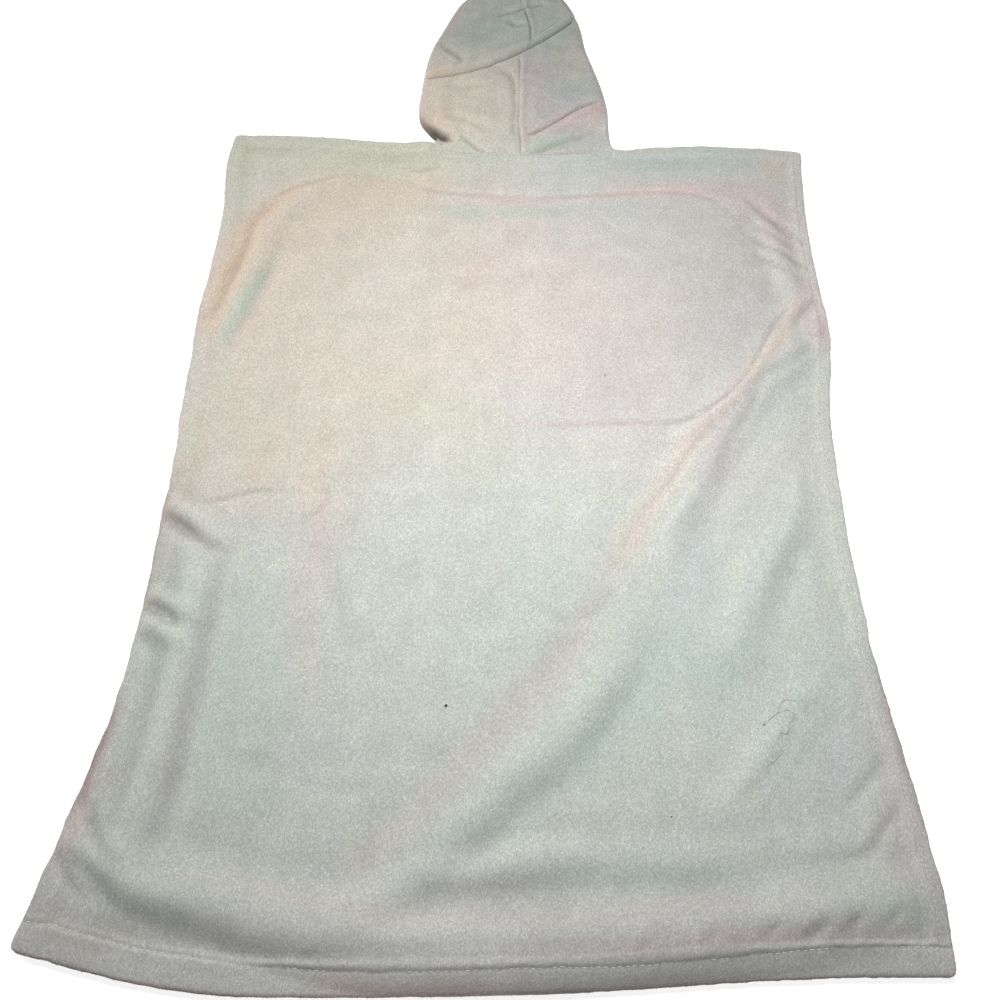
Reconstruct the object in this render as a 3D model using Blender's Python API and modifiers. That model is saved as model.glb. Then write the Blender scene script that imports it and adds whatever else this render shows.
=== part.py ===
"""Hooded bath poncho in towelling, laid flat with its back up and its hood spread beyond the shoulders.

Metres, +Z up. X runs across the garment and Y from the hem (-Y) to the tip of the hood (+Y). The origin is
the centre of the footprint, on the surface that the garment lies on. "Along" is the distance from the lowest
point of the hem towards the tip of the hood.
"""

from collections import namedtuple

import bpy
import numpy as np

# Cloth
TOWELLING = 0.0022  # one layer of terry
DOUBLED = 0.0036  # two layers pressed by their stitching
SEAM_GAP = 0.0003  # between neighbouring pieces
HEM_TURN = 0.020  # depth of the bottom hem
EDGE_TURN = 0.010  # depth of the turned edges at armholes, sides and shoulders
FACE_TURN = 0.016  # depth of the hem round the face opening
STEP = 0.0015  # run of cloth over the edge of a turning

# Body
TOTAL_LENGTH = 1.212
ARMHOLE_BOTTOM = 0.620
SHOULDER = 0.885
NECK_LEFT = -0.0945
NECK_RIGHT = 0.1120
FRONT_SCOOP = 0.075  # how far the front neckline lies below the neck corners
LOFT = 0.0026  # air that the back holds over the front, away from the edges
LOFT_RUN = 0.045  # distance from the edges at which the air has its full height
NECK_ZONE = 0.760  # the hood's under layer reaches under the back from here on
NECK_LIFT = 0.0016  # height that the turnings of the neck seam and the hood's under layer add
ARMHOLE_LIFT = 0.0006  # the back stands this clear of the front at the open armholes
EASE = 0.030  # run over which the back rises to the neck and the armholes

# Hood
FACE_HALF_GAP = 0.012  # from the centre line to the hemmed face edge
UNDER_CENTRE_X = 0.004  # centre line of the layer that lies on the floor
FOREHEAD = 1.135  # where the face opening ends
CROWN = 0.20  # share of its height that the hood loses towards its side folds
SEAM_RIDGE_WIDTH = 0.007
SEAM_RIDGE_HEIGHT = 0.0014
PLEAT_DEPTH = 0.009  # how far the crown tucks under the pleat's folded edge
PLEAT_RISE = 0.0030  # between the first and the second layer of the pleat
PLEAT_FALL = 0.0028  # between the second and the third layer
PLEAT_PARTING = 0.0003  # more gap at the centre seam where the pleat turns
PLEAT_FADE = 0.80  # share of the half width over which the pleat stays folded

Edge = namedtuple("Edge", "x along")
Side = namedtuple("Side", "along left right")
Fold = namedtuple("Fold", "name height left right path")
HoodRow = namedtuple("HoodRow", "left seam right seam_x slope height")

# Outline of the body: its two sides at a few distances from the hem
SIDES = [
    Side(0.000, -0.346, 0.342),
    Side(0.030, -0.344, 0.343),
    Side(0.073, -0.336, 0.344),
    Side(0.118, -0.327, 0.340),
    Side(0.165, -0.318, 0.334),
    Side(0.215, -0.310, 0.327),
    Side(0.268, -0.306, 0.320),
    Side(0.324, -0.305, 0.317),
    Side(0.384, -0.306, 0.314),
    Side(0.448, -0.307, 0.314),
    Side(0.517, -0.312, 0.315),
    Side(0.592, -0.315, 0.325),
    Side(0.620, -0.317, 0.328),
    Side(0.672, -0.316, 0.325),
    Side(0.759, -0.316, 0.322),
    Side(0.853, -0.325, 0.326),
    Side(0.893, -0.323, 0.329),
]
HEM_EDGE = [
    Edge(-0.344, 0.024),
    Edge(-0.305, 0.016),
    Edge(-0.243, 0.005),
    Edge(-0.185, 0.000),
    Edge(-0.127, 0.001),
    Edge(-0.027, 0.005),
    Edge(0.087, 0.012),
    Edge(0.159, 0.019),
    Edge(0.231, 0.025),
    Edge(0.303, 0.029),
    Edge(0.344, 0.030),
]
TOP_EDGE = [
    Edge(-0.323, 0.892),
    Edge(-0.249, 0.893),
    Edge(-0.178, 0.889),
    Edge(-0.131, 0.884),
    Edge(-0.092, 0.877),
    Edge(0.011, 0.871),
    Edge(0.110, 0.880),
    Edge(0.168, 0.889),
    Edge(0.214, 0.892),
    Edge(0.283, 0.890),
    Edge(0.329, 0.886),
]

# Folds of the back. A path's points are x, along and the share of the fold's height that it has there. Left
# and right are its widths on either hand, looking along the path.
FOLDS = [
    Fold("armhole_to_hem", 0.0120, 0.060, 0.036, [
        (-0.096, 0.050, 0.3), (-0.040, 0.108, 0.7), (0.005, 0.153, 0.9), (0.052, 0.203, 1.0), (0.096, 0.266, 1.0),
        (0.132, 0.312, 1.0), (0.158, 0.394, 1.0), (0.182, 0.480, 0.9), (0.236, 0.544, 0.7), (0.294, 0.634, 0.4),
    ]),
    Fold("right_middle", 0.0060, 0.036, 0.036, [(0.195, 0.262, 0.5), (0.232, 0.355, 1.0), (0.262, 0.437, 0.6)]),
    Fold("right_low", 0.0040, 0.032, 0.032, [(0.200, 0.172, 0.6), (0.230, 0.212, 1.0), (0.262, 0.252, 0.6)]),
    Fold("hem_swell_right", 0.0095, 0.050, 0.021, [
        (-0.065, 0.047, 0.5), (0.014, 0.043, 1.0), (0.117, 0.049, 1.0), (0.236, 0.068, 1.0), (0.318, 0.088, 0.6),
    ]),
    Fold("hem_swell_left", 0.0080, 0.050, 0.021, [
        (-0.285, 0.095, 0.4), (-0.250, 0.068, 0.9), (-0.190, 0.051, 1.0), (-0.135, 0.045, 0.6),
    ]),
    Fold("low_middle", 0.0055, 0.028, 0.024, [
        (-0.050, 0.085, 0.6), (0.005, 0.099, 1.0), (0.065, 0.114, 1.0), (0.130, 0.110, 0.6),
    ]),
    Fold("left_side", 0.0065, 0.020, 0.024, [
        (-0.280, 0.108, 0.5), (-0.273, 0.160, 1.0), (-0.272, 0.215, 1.0), (-0.274, 0.270, 1.0), (-0.279, 0.320, 0.6),
    ]),
    Fold("left_wedge_low", 0.0035, 0.018, 0.018, [(-0.285, 0.288, 1.0), (-0.258, 0.268, 0.5)]),
    Fold("left_wedge_middle", 0.0040, 0.022, 0.022, [(-0.285, 0.350, 1.0), (-0.256, 0.335, 0.4)]),
    Fold("left_wedge_high", 0.0030, 0.020, 0.020, [(-0.285, 0.412, 1.0), (-0.256, 0.388, 0.3)]),
    Fold("left_armhole", 0.0050, 0.022, 0.026, [
        (-0.292, 0.630, 0.4), (-0.274, 0.707, 1.0), (-0.252, 0.795, 0.7), (-0.215, 0.818, 0.3),
    ]),
    Fold("right_armhole", 0.0040, 0.026, 0.026, [(0.296, 0.660, 0.7), (0.288, 0.705, 1.0), (0.272, 0.765, 0.5)]),
]

# Outline of the hood, and its rows. A row gives how far along it meets the left outline, the centre seam and
# the right outline, where the seam lies, how the row slants there, and the height of the upper layer.
HOOD_LEFT_EDGE = [
    Edge(-0.0945, 0.8775), Edge(-0.090, 0.891), Edge(-0.100, 0.903), Edge(-0.109, 0.918), Edge(-0.114, 0.944),
    Edge(-0.113, 0.973), Edge(-0.112, 1.002), Edge(-0.110, 1.027), Edge(-0.106, 1.052), Edge(-0.093, 1.095),
    Edge(-0.083, 1.127), Edge(-0.075, 1.148), Edge(-0.058, 1.172),
]
HOOD_RIGHT_EDGE = [
    Edge(0.1120, 0.8805), Edge(0.111, 0.895), Edge(0.110, 0.918), Edge(0.109, 0.944), Edge(0.106, 0.968),
    Edge(0.100, 0.996), Edge(0.092, 1.026), Edge(0.084, 1.056), Edge(0.077, 1.100), Edge(0.068, 1.132),
    Edge(0.060, 1.152), Edge(0.045, 1.178),
]
LOWER_ROWS = [
    HoodRow(0.8775, 0.8715, 0.8805, 0.006, 0.00, 0.0063),
    HoodRow(0.8900, 0.8880, 0.9060, 0.006, 0.05, 0.0095),
    HoodRow(0.9120, 0.9170, 0.9480, 0.005, 0.22, 0.0130),
    HoodRow(0.9400, 0.9560, 1.0050, 0.004, 0.45, 0.0150),
    HoodRow(0.9690, 0.9950, 1.0620, 0.004, 0.65, 0.0160),
    HoodRow(0.9920, 1.0260, 1.1070, 0.005, 0.75, 0.0165),
]
UPPER_ROWS = [
    HoodRow(1.0160, 1.0600, 1.1300, 0.0155, 0.62, 0.0112),
    HoodRow(1.0600, 1.1000, 1.1460, 0.0155, 0.42, 0.0120),
    HoodRow(1.1100, 1.1500, 1.1600, 0.0140, 0.20, 0.0118),
    HoodRow(1.1450, 1.1880, 1.1710, 0.0080, 0.05, 0.0105),
    HoodRow(1.1720, 1.2120, 1.1780, 0.0040, 0.00, 0.0090),
]

LINEAR_COLOURS = {
    "towelling_body": (0.60, 0.62, 0.56, 1.0),
    "towelling_hood": (0.58, 0.55, 0.50, 1.0),
}


def column(table, name):
    return np.array([getattr(row, name) for row in table])


def smooth(knots, values, at):
    """Cubic curve through the values at their knots, read at the places given."""
    at = np.clip(at, knots[0], knots[-1])
    slopes = np.gradient(values, knots)
    first = np.clip(np.searchsorted(knots, at) - 1, 0, len(knots) - 2)
    span = knots[first + 1] - knots[first]
    s = (at - knots[first]) / span
    start = (1 + 2 * s) * (1 - s) ** 2 * values[first] + s * (1 - s) ** 2 * span * slopes[first]
    end = s * s * (3 - 2 * s) * values[first + 1] - s * s * (1 - s) * span * slopes[first + 1]
    return start + end


def ramp(value, start, end):
    """0 before start, 1 after end, smooth between."""
    s = np.clip((value - start) / (end - start), 0.0, 1.0)
    return s * s * (3 - 2 * s)


def left_side(along):
    return smooth(column(SIDES, "along"), column(SIDES, "left"), along)


def right_side(along):
    return smooth(column(SIDES, "along"), column(SIDES, "right"), along)


def hem_edge(x):
    return smooth(column(HEM_EDGE, "x"), column(HEM_EDGE, "along"), x)


def top_edge(x):
    return smooth(column(TOP_EDGE, "x"), column(TOP_EDGE, "along"), x)


def in_neck(x):
    return (x > NECK_LEFT) & (x < NECK_RIGHT)


def scoop_edge(x):
    """Front neckline: the shoulder line, dropping in a scoop between the neck corners."""
    middle = (NECK_LEFT + NECK_RIGHT) / 2
    off_centre = np.abs(x - middle) / (NECK_RIGHT - middle)
    drop = FRONT_SCOOP * (1 - np.minimum(off_centre, 1.0) ** 2.2)
    return top_edge(x) - drop


def make_material(name):
    material = bpy.data.materials.new(name)
    material.use_nodes = True
    shader = material.node_tree.nodes["Principled BSDF"]
    shader.inputs["Base Color"].default_value = LINEAR_COLOURS[name]
    shader.inputs["Roughness"].default_value = 0.95
    shader.inputs["Metallic"].default_value = 0.0
    material.diffuse_color = LINEAR_COLOURS[name]
    return material


def add_wall(name, points, faces, doubling, offset, material, collection):
    """Open surface given its thickness by Solidify; doubling is 1 where the cloth is turned over itself."""
    mesh = bpy.data.meshes.new(name)
    mesh.from_pydata([tuple(p) for p in points], [], faces)
    mesh.shade_smooth()
    mesh.materials.append(material)
    wall = bpy.data.objects.new(name, mesh)
    collection.objects.link(wall)
    group = wall.vertex_groups.new(name="turned")
    for index, weight in enumerate(doubling):
        group.add([index], float(weight), "REPLACE")
    thickness = wall.modifiers.new("towelling", "SOLIDIFY")
    thickness.thickness = DOUBLED
    thickness.offset = offset
    thickness.vertex_group = "turned"
    thickness.thickness_vertex_group = TOWELLING / DOUBLED
    thickness.use_rim = True
    return wall


def grid_faces(rows, columns):
    return [
        (i * columns + j, i * columns + j + 1, (i + 1) * columns + j + 1, (i + 1) * columns + j)
        for i in range(rows - 1)
        for j in range(columns - 1)
    ]


# Body panels


def even_between(start, end, spaces):
    return np.linspace(start, end, spaces + 1)[1:-1]


def inset_places(length, near, far, spaces):
    """Distances from one edge to the other: close to each edge as listed, even between."""
    far_places = [length - inset for inset in reversed(far)]
    return [*near, *even_between(near[-1], far_places[0], spaces), *far_places]


def turned_share(x, along, extra=0.0, soften=STEP):
    """1 on the turned edges of a panel and 0 on its single cloth."""
    hem = 1 - ramp(along - hem_edge(x), HEM_TURN + extra, HEM_TURN + extra + soften)
    left = 1 - ramp(x - left_side(along), EDGE_TURN + extra, EDGE_TURN + extra + soften)
    right = 1 - ramp(right_side(along) - x, EDGE_TURN + extra, EDGE_TURN + extra + soften)
    shoulder = 1 - ramp(top_edge(x) - along, EDGE_TURN + extra, EDGE_TURN + extra + soften)
    shoulder = np.where(in_neck(x), 0.0, shoulder)
    return np.maximum.reduce([hem, left, right, shoulder])


def fold_lift(x, along):
    """Height that the folds add to the back."""
    total = np.zeros_like(x)
    for fold in FOLDS:
        path = np.array(fold.path)
        knots = np.arange(len(path), dtype=float)
        fine = np.linspace(0.0, knots[-1], 8 * len(path))
        px, py, share = (smooth(knots, path[:, k], fine) for k in range(3))
        best = np.full_like(x, np.inf)
        lift = np.zeros_like(x)
        for k in range(len(fine) - 1):
            run_x = px[k + 1] - px[k]
            run_y = py[k + 1] - py[k]
            length = np.hypot(run_x, run_y)
            s = np.clip(((x - px[k]) * run_x + (along - py[k]) * run_y) / length**2, 0.0, 1.0)
            off_x = x - px[k] - s * run_x
            off_y = along - py[k] - s * run_y
            away = np.hypot(off_x, off_y)
            on_left = run_x * off_y - run_y * off_x > 0
            reach = np.clip(away / np.where(on_left, fold.left, fold.right), 0.0, 1.0)
            height = fold.height * (share[k] + s * (share[k + 1] - share[k]))
            nearer = away < best
            lift = np.where(nearer, height * (0.5 + 0.5 * np.cos(np.pi * reach)), lift)
            best = np.minimum(best, away)
        total += lift
    return total


def body_grid(hem_rows, shoulder_rows, row_spaces, side_columns, top, top_x):
    """Grid over a panel, closer at its edges. Its middle columns meet the top edge at the places in top_x."""
    left_top = left_side(SHOULDER)
    width_top = right_side(SHOULDER) - left_top
    near = len(side_columns)
    right_columns = [width_top - inset for inset in reversed(side_columns)]
    insets = [*side_columns, *[x - left_top for x in top_x], *right_columns]
    all_x = []
    all_along = []
    for number, inset in enumerate(insets):
        end = top(left_top + inset)
        share = (left_top + inset - left_side(end)) / (right_side(end) - left_side(end))
        start = hem_edge(left_side(0.0) + share * (right_side(0.0) - left_side(0.0)))
        along = start + np.array(inset_places(end - start, hem_rows, shoulder_rows, row_spaces))
        if number < near:
            x = left_side(along) + inset
        elif number >= len(insets) - near:
            x = right_side(along) - (width_top - inset)
        else:
            x = left_side(along) + share * (right_side(along) - left_side(along))
        all_x.append(x)
        all_along.append(along)
    return np.array(all_x).T, np.array(all_along).T


def to_points(x, along, z):
    return np.stack([x.ravel(), along.ravel() - TOTAL_LENGTH / 2, z.ravel()], axis=1)


def add_front_panel(material, collection):
    """Lower layer: flat on the floor, with its turnings on the upper side."""
    neck_left = NECK_LEFT - SEAM_GAP
    neck_right = NECK_RIGHT + SEAM_GAP
    x, along = body_grid(
        hem_rows=[0.0, HEM_TURN, HEM_TURN + STEP],
        shoulder_rows=[0.0, EDGE_TURN, EDGE_TURN + STEP],
        row_spaces=14,
        side_columns=[0.0, EDGE_TURN, EDGE_TURN + STEP],
        top=front_top,
        top_x=[
            *even_between(left_side(SHOULDER), neck_left, 4),
            neck_left, *neck_stations(-1), *reversed(neck_stations(1)), neck_right,
            *even_between(neck_right, right_side(SHOULDER), 4),
        ],
    )
    rows, columns = x.shape
    doubling = turned_share(x, along)
    points = to_points(x, along, np.zeros_like(x))
    return add_wall("front_panel", points, grid_faces(rows, columns), doubling.ravel(), 1.0, material, collection)


def front_top(x):
    """Top edge of the front, a seam's gap below the hood's under layer in the scoop."""
    return scoop_edge(x) - np.where(in_neck(x), 3 * SEAM_GAP, 0.0)


def add_back_panel(material, collection):
    """Upper layer: lies on the front, rising over the turnings and in its folds."""
    side_columns = [0.0, EDGE_TURN, EDGE_TURN + STEP, 0.022, 0.036]
    x, along = body_grid(
        hem_rows=[0.0, HEM_TURN / 2, HEM_TURN, HEM_TURN + STEP, 0.029, 0.037, 0.046, 0.057, 0.070],
        shoulder_rows=[0.0, EDGE_TURN, EDGE_TURN + STEP, 0.024],
        row_spaces=33,
        side_columns=side_columns,
        top=top_edge,
        top_x=even_between(
            left_side(SHOULDER) + side_columns[-1], right_side(SHOULDER) - side_columns[-1], 27
        ),
    )
    rows, columns = x.shape
    inset = np.minimum(x - left_side(along), right_side(along) - x)
    ends = np.minimum(along - hem_edge(x), top_edge(x) - along)
    inside = np.minimum(inset, ends)
    over_turnings = (DOUBLED - TOWELLING) * turned_share(x, along, extra=STEP, soften=4 * STEP)
    from_left = ramp(x, NECK_LEFT - EASE, NECK_LEFT + EDGE_TURN)
    from_right = ramp(x, NECK_RIGHT - EDGE_TURN, NECK_RIGHT + EASE)
    near_neck = from_left * (1 - from_right) * ramp(along, NECK_ZONE, NECK_ZONE + EASE)
    over_neck = NECK_LIFT * near_neck
    at_armholes = ARMHOLE_LIFT * ramp(along, ARMHOLE_BOTTOM, ARMHOLE_BOTTOM + EASE)
    folds = fold_lift(x, along) * ramp(inside, HEM_TURN * 0.4, HEM_TURN * 1.4)
    loft = LOFT * ramp(inside, EDGE_TURN, LOFT_RUN) * (1 - near_neck)
    z = TOWELLING + SEAM_GAP + np.maximum(over_turnings, over_neck) + at_armholes + folds + loft
    doubling = turned_share(x, along)
    points = to_points(x, along, z)
    return add_wall("back_panel", points, grid_faces(rows, columns), doubling.ravel(), 1.0, material, collection)


# Hood

LOWER_POSITIONS = [0.0, 0.12, 0.6, 1.0, 1.5, 2.0, 2.5, 3.0, 3.5, 4.0, 4.5, 4.85]
UPPER_POSITIONS = [0.0, 0.5, 1.0, 1.5, 2.0, 2.5, 3.0, 3.5, 4.0]
TOP_NEAR_SEAM = [0.0, SEAM_RIDGE_WIDTH, SEAM_RIDGE_WIDTH + STEP]
UNDER_NEAR_FACE = [0.0, FACE_TURN, FACE_TURN + STEP]
ACROSS_SHARES = [0.30, 0.45, 0.60, PLEAT_FADE, 0.91, 1.0]
STRIP_STEPS = 4
UPPER_TURN_STAGES = 6


def edge_x(side, along):
    table = HOOD_LEFT_EDGE if side < 0 else HOOD_RIGHT_EDGE
    return smooth(column(table, "along"), column(table, "x"), along)


def hood_row(table, position):
    """Row at a fractional position in a table of rows."""
    knots = np.arange(len(table), dtype=float)
    return HoodRow(*[float(smooth(knots, column(table, name), position)) for name in HoodRow._fields])


def row_curve(row, side, share):
    """Place and slope on a row: share 0 is the centre seam and 1 is the outline."""
    end_along = row.left if side < 0 else row.right
    reach = edge_x(side, end_along) - row.seam_x
    bend = (end_along - row.seam - row.slope * reach) / reach**2
    offset = share * reach
    return row.seam_x + offset, row.seam + row.slope * offset + bend * offset**2, row.slope + 2 * bend * offset


def pleat_stages():
    """Advance past the folded edge and drop below it, for each row of the pleat when folded and when open."""
    upper_turn = PLEAT_RISE / 2
    lower_turn = PLEAT_FALL / 2
    crest = -upper_turn - TOWELLING / 2
    stages = []
    for angle in np.radians([0, 45, 90, 135, 180]):
        stages.append((crest + upper_turn * np.sin(angle), upper_turn * (1 - np.cos(angle))))
    for angle in np.radians([0, 60, 120, 180]):
        advance = -PLEAT_DEPTH - lower_turn * np.sin(angle)
        stages.append((advance, PLEAT_RISE + lower_turn * (1 - np.cos(angle))))
    for advance in (-0.002, 0.005, 0.013):
        stages.append((advance, PLEAT_RISE + PLEAT_FALL))
    opened = np.linspace(crest, stages[-1][0], len(stages))
    return [(folded, flat, drop) for (folded, drop), flat in zip(stages, opened)]


def pleated_shift(slope, advance, stage):
    """Move in plan from the pleat's edge: back along the cloth's mirror image, then forward again."""
    norm = np.hypot(slope, 1.0)
    back_x, back_along = 2 * slope / norm, (slope**2 - 1) / norm
    backward = np.where(stage < UPPER_TURN_STAGES, np.maximum(-advance, 0.0), PLEAT_DEPTH)
    forward = advance + backward
    return backward * back_x, backward * back_along + forward * norm


def top_shares(reach):
    near = [distance / abs(reach) for distance in TOP_NEAR_SEAM]
    return np.array([*near, *ACROSS_SHARES])


def hood_top(side):
    """Grid of the upper layer out to the outline: x, along, height and seam ridge, a row for each position."""
    rows = []
    for position in LOWER_POSITIONS:
        row = hood_row(LOWER_ROWS, position)
        shares = top_shares(edge_x(side, row.left if side < 0 else row.right) - row.seam_x)
        x, along, _ = row_curve(row, side, shares)
        at_neck = 1 - ramp(position, 0.0, 1.5)
        plain = row_curve(LOWER_ROWS[0], side, shares)
        along = along + at_neck * (top_edge(plain[0]) + SEAM_GAP - plain[1])
        height = row.height if position > LOWER_POSITIONS[1] else LOWER_ROWS[0].height
        ridge = 1 - ramp(position, 4.0, 4.8)
        rows.append((x, along, height * (1 - CROWN * shares**2), ridge))
    pleat = LOWER_ROWS[-1]
    end_along = pleat.left if side < 0 else pleat.right
    shares = top_shares(edge_x(side, end_along) - pleat.seam_x)
    folded_share = 1 - ramp(shares, PLEAT_FADE, 1.0)
    to_side = shares**4
    stages = pleat_stages()
    for index, (folded, flat, drop) in enumerate(stages):
        advance = flat + folded_share * (folded - flat)
        x, along, slope = row_curve(pleat, side, shares)
        edge_run = edge_x(side, end_along + advance) - edge_x(side, end_along)
        shift_x, shift_along = pleated_shift(slope, advance, index)
        x = x + (1 - to_side) * shift_x + to_side * edge_run + side * PLEAT_PARTING * (1 - shares)
        along = along + (1 - to_side) * shift_along + to_side * advance
        rows.append((x, along, pleat.height * (1 - CROWN * shares**2) - drop, 0.0))
    for position in UPPER_POSITIONS:
        row = hood_row(UPPER_ROWS, position)
        shares = top_shares(edge_x(side, row.left if side < 0 else row.right) - row.seam_x)
        x, along, _ = row_curve(row, side, shares)
        ridge = ramp(position, 0.0, 0.5) * (1 - ramp(position, 3.0, 4.0))
        rows.append((x, along, row.height * (1 - CROWN * shares**2), ridge))
    x, along, height = (np.array([row[k] for row in rows]) for k in range(3))
    ridge = np.array([row[3] for row in rows])
    return x, along, height, ridge


def outward(x, along, side):
    """Unit normals in plan of the outline path, which runs up the side and then over the tip to the seam."""
    run_x = np.gradient(x)
    run_y = np.gradient(along)
    length = np.hypot(run_x, run_y)
    return side * run_y / length, -side * run_x / length


def under_shares(reach):
    """Shares of the way from the face edge to the side fold, bunched at the hem of the face edge."""
    widest = [0.0, ACROSS_SHARES[0] * 0.75, ACROSS_SHARES[0] * 0.85]
    near = [min(distance / abs(reach), limit) for distance, limit in zip(UNDER_NEAR_FACE, widest)]
    return np.array([*near, *ACROSS_SHARES])


def neck_stations(side):
    """Where the under layer's neck edge has its points, from the side fold to the face edge."""
    fold_radius = LOWER_ROWS[0].height * (1 - CROWN) / 2
    outer = (NECK_LEFT if side < 0 else NECK_RIGHT) - side * fold_radius
    inner = UNDER_CENTRE_X + side * FACE_HALF_GAP
    return [inner + share * (outer - inner) for share in under_shares(outer - inner)[::-1]]


def add_hood_panel(name, side, material, collection):
    """One half of the hood: upper layer, side fold and tip, and the under layer to the face edge."""
    half_cloth = TOWELLING / 2
    x, along, height, ridge = hood_top(side)
    rows, columns = x.shape
    last = rows - 1

    path = [(i, columns - 1) for i in range(rows)] + [(last, j) for j in range(columns - 2, -1, -1)]
    path_x = np.array([x[i, j] for i, j in path])
    path_along = np.array([along[i, j] for i, j in path])
    normal_x, normal_y = outward(path_x, path_along, side)
    normal_x[0], normal_y[0] = side, 0.0
    normal_x[-1], normal_y[-1] = 0.0, 1.0
    radius = np.array([height[i, j] for i, j in path]) / 2

    # The upper layer ends a fold's radius inside the outline.
    centre_x = x.copy()
    centre_along = along.copy()
    for i in range(rows):
        for j in range(columns):
            at_side = float((j / (columns - 1)) ** 6)
            at_tip = float((i / last) ** 24)
            total = max(at_side + at_tip, 1.0)
            tip_k = rows - 1 + (columns - 1 - j)
            pull_side = at_side / total * radius[i]
            pull_tip = at_tip / total * radius[tip_k]
            centre_x[i, j] -= pull_side * normal_x[i] + pull_tip * normal_x[tip_k]
            centre_along[i, j] -= pull_side * normal_y[i] + pull_tip * normal_y[tip_k]
    for k, (i, j) in enumerate(path):
        centre_x[i, j] = path_x[k] - radius[k] * normal_x[k]
        centre_along[i, j] = path_along[k] - radius[k] * normal_y[k]
    centre_x[:, 0] = x[:, 0]

    points = []
    doubling = []
    index_top = np.zeros((rows, columns), int)
    index_under = np.zeros((rows, columns), int)
    index_strip = np.zeros((len(path), STRIP_STEPS + 1), int)

    def place(px, pa, pz, weight=0.0):
        points.append((px, pa - TOTAL_LENGTH / 2, pz))
        doubling.append(weight)
        return len(points) - 1

    seam_side = side * SEAM_GAP / 2
    for i in range(rows):
        for j in range(columns):
            raised = SEAM_RIDGE_HEIGHT * ridge[i] if side > 0 and j < 2 else 0.0
            lift = height[i, j] - half_cloth + raised
            index_top[i, j] = place(centre_x[i, j] + seam_side, centre_along[i, j], lift)

    # The under layer runs from the side fold to the face edge, which closes into the centre seam at the crown.
    first_under = scoop_edge(UNDER_CENTRE_X + side * FACE_HALF_GAP)
    climb = (path_along[:rows] - path_along[0]) / (path_along[last] - path_along[0])
    inner_along = first_under + climb * (centre_along[last, 0] - first_under)
    open_share = 1 - ramp(inner_along, FOREHEAD, FOREHEAD + 0.030)
    inner_x = UNDER_CENTRE_X + side * (SEAM_GAP / 2 + FACE_HALF_GAP * open_share)
    for i in range(rows):
        outer_x = centre_x[i, columns - 1]
        outer_along = centre_along[i, columns - 1]
        shares = under_shares(outer_x - inner_x[i])
        for j in range(columns - 1):
            if i == last:
                px, pa = centre_x[last, j] + seam_side, centre_along[last, j]
            else:
                px = inner_x[i] + shares[j] * (outer_x - inner_x[i])
                pa = inner_along[i] + shares[j] * (outer_along - inner_along[i])
            if i == 0:
                pa = scoop_edge(px)
            weight = float(open_share[i]) if j < 2 else 0.0
            cloth = TOWELLING + weight * (DOUBLED - TOWELLING)
            index_under[i, j] = place(px, pa, cloth / 2, weight)

    for k, (i, j) in enumerate(path):
        index_strip[k, 0] = index_top[i, j]
        for step in range(1, STRIP_STEPS):
            angle = np.pi * step / STRIP_STEPS
            reach = (radius[k] - half_cloth) * np.sin(angle)
            rise = (radius[k] - half_cloth) * np.cos(angle)
            px = centre_x[i, j] + normal_x[k] * reach + seam_side
            pa = centre_along[i, j] + normal_y[k] * reach
            index_strip[k, step] = place(px, pa, radius[k] + rise)
        if k < rows:
            pa = scoop_edge(centre_x[i, j]) if k == 0 else centre_along[i, j]
            index_under[i, j] = place(centre_x[i, j] + seam_side, pa, half_cloth)
        index_strip[k, STRIP_STEPS] = index_under[i, j]

    faces = []

    def quad(a, b, c, d, flip):
        corners = (a, b, c, d) if not flip else (d, c, b, a)
        faces.append(tuple(int(corner) for corner in corners))

    for i in range(rows - 1):
        for j in range(columns - 1):
            quad(index_top[i, j], index_top[i, j + 1], index_top[i + 1, j + 1], index_top[i + 1, j], side < 0)
            quad(
                index_under[i, j], index_under[i, j + 1], index_under[i + 1, j + 1], index_under[i + 1, j], side > 0
            )
    for k in range(len(path) - 1):
        for step in range(STRIP_STEPS):
            quad(
                index_strip[k, step], index_strip[k, step + 1],
                index_strip[k + 1, step + 1], index_strip[k + 1, step], side < 0,
            )
    return add_wall(name, points, faces, doubling, 0.0, material, collection)


def main():
    for thing in list(bpy.data.objects):
        bpy.data.objects.remove(thing)
    poncho = bpy.data.collections.new("hooded_bath_poncho")
    bpy.context.scene.collection.children.link(poncho)
    body = make_material("towelling_body")
    hood = make_material("towelling_hood")
    add_front_panel(body, poncho)
    add_back_panel(body, poncho)
    add_hood_panel("hood_left", -1, hood, poncho)
    add_hood_panel("hood_right", 1, hood, poncho)


main()
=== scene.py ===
import math

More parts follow.
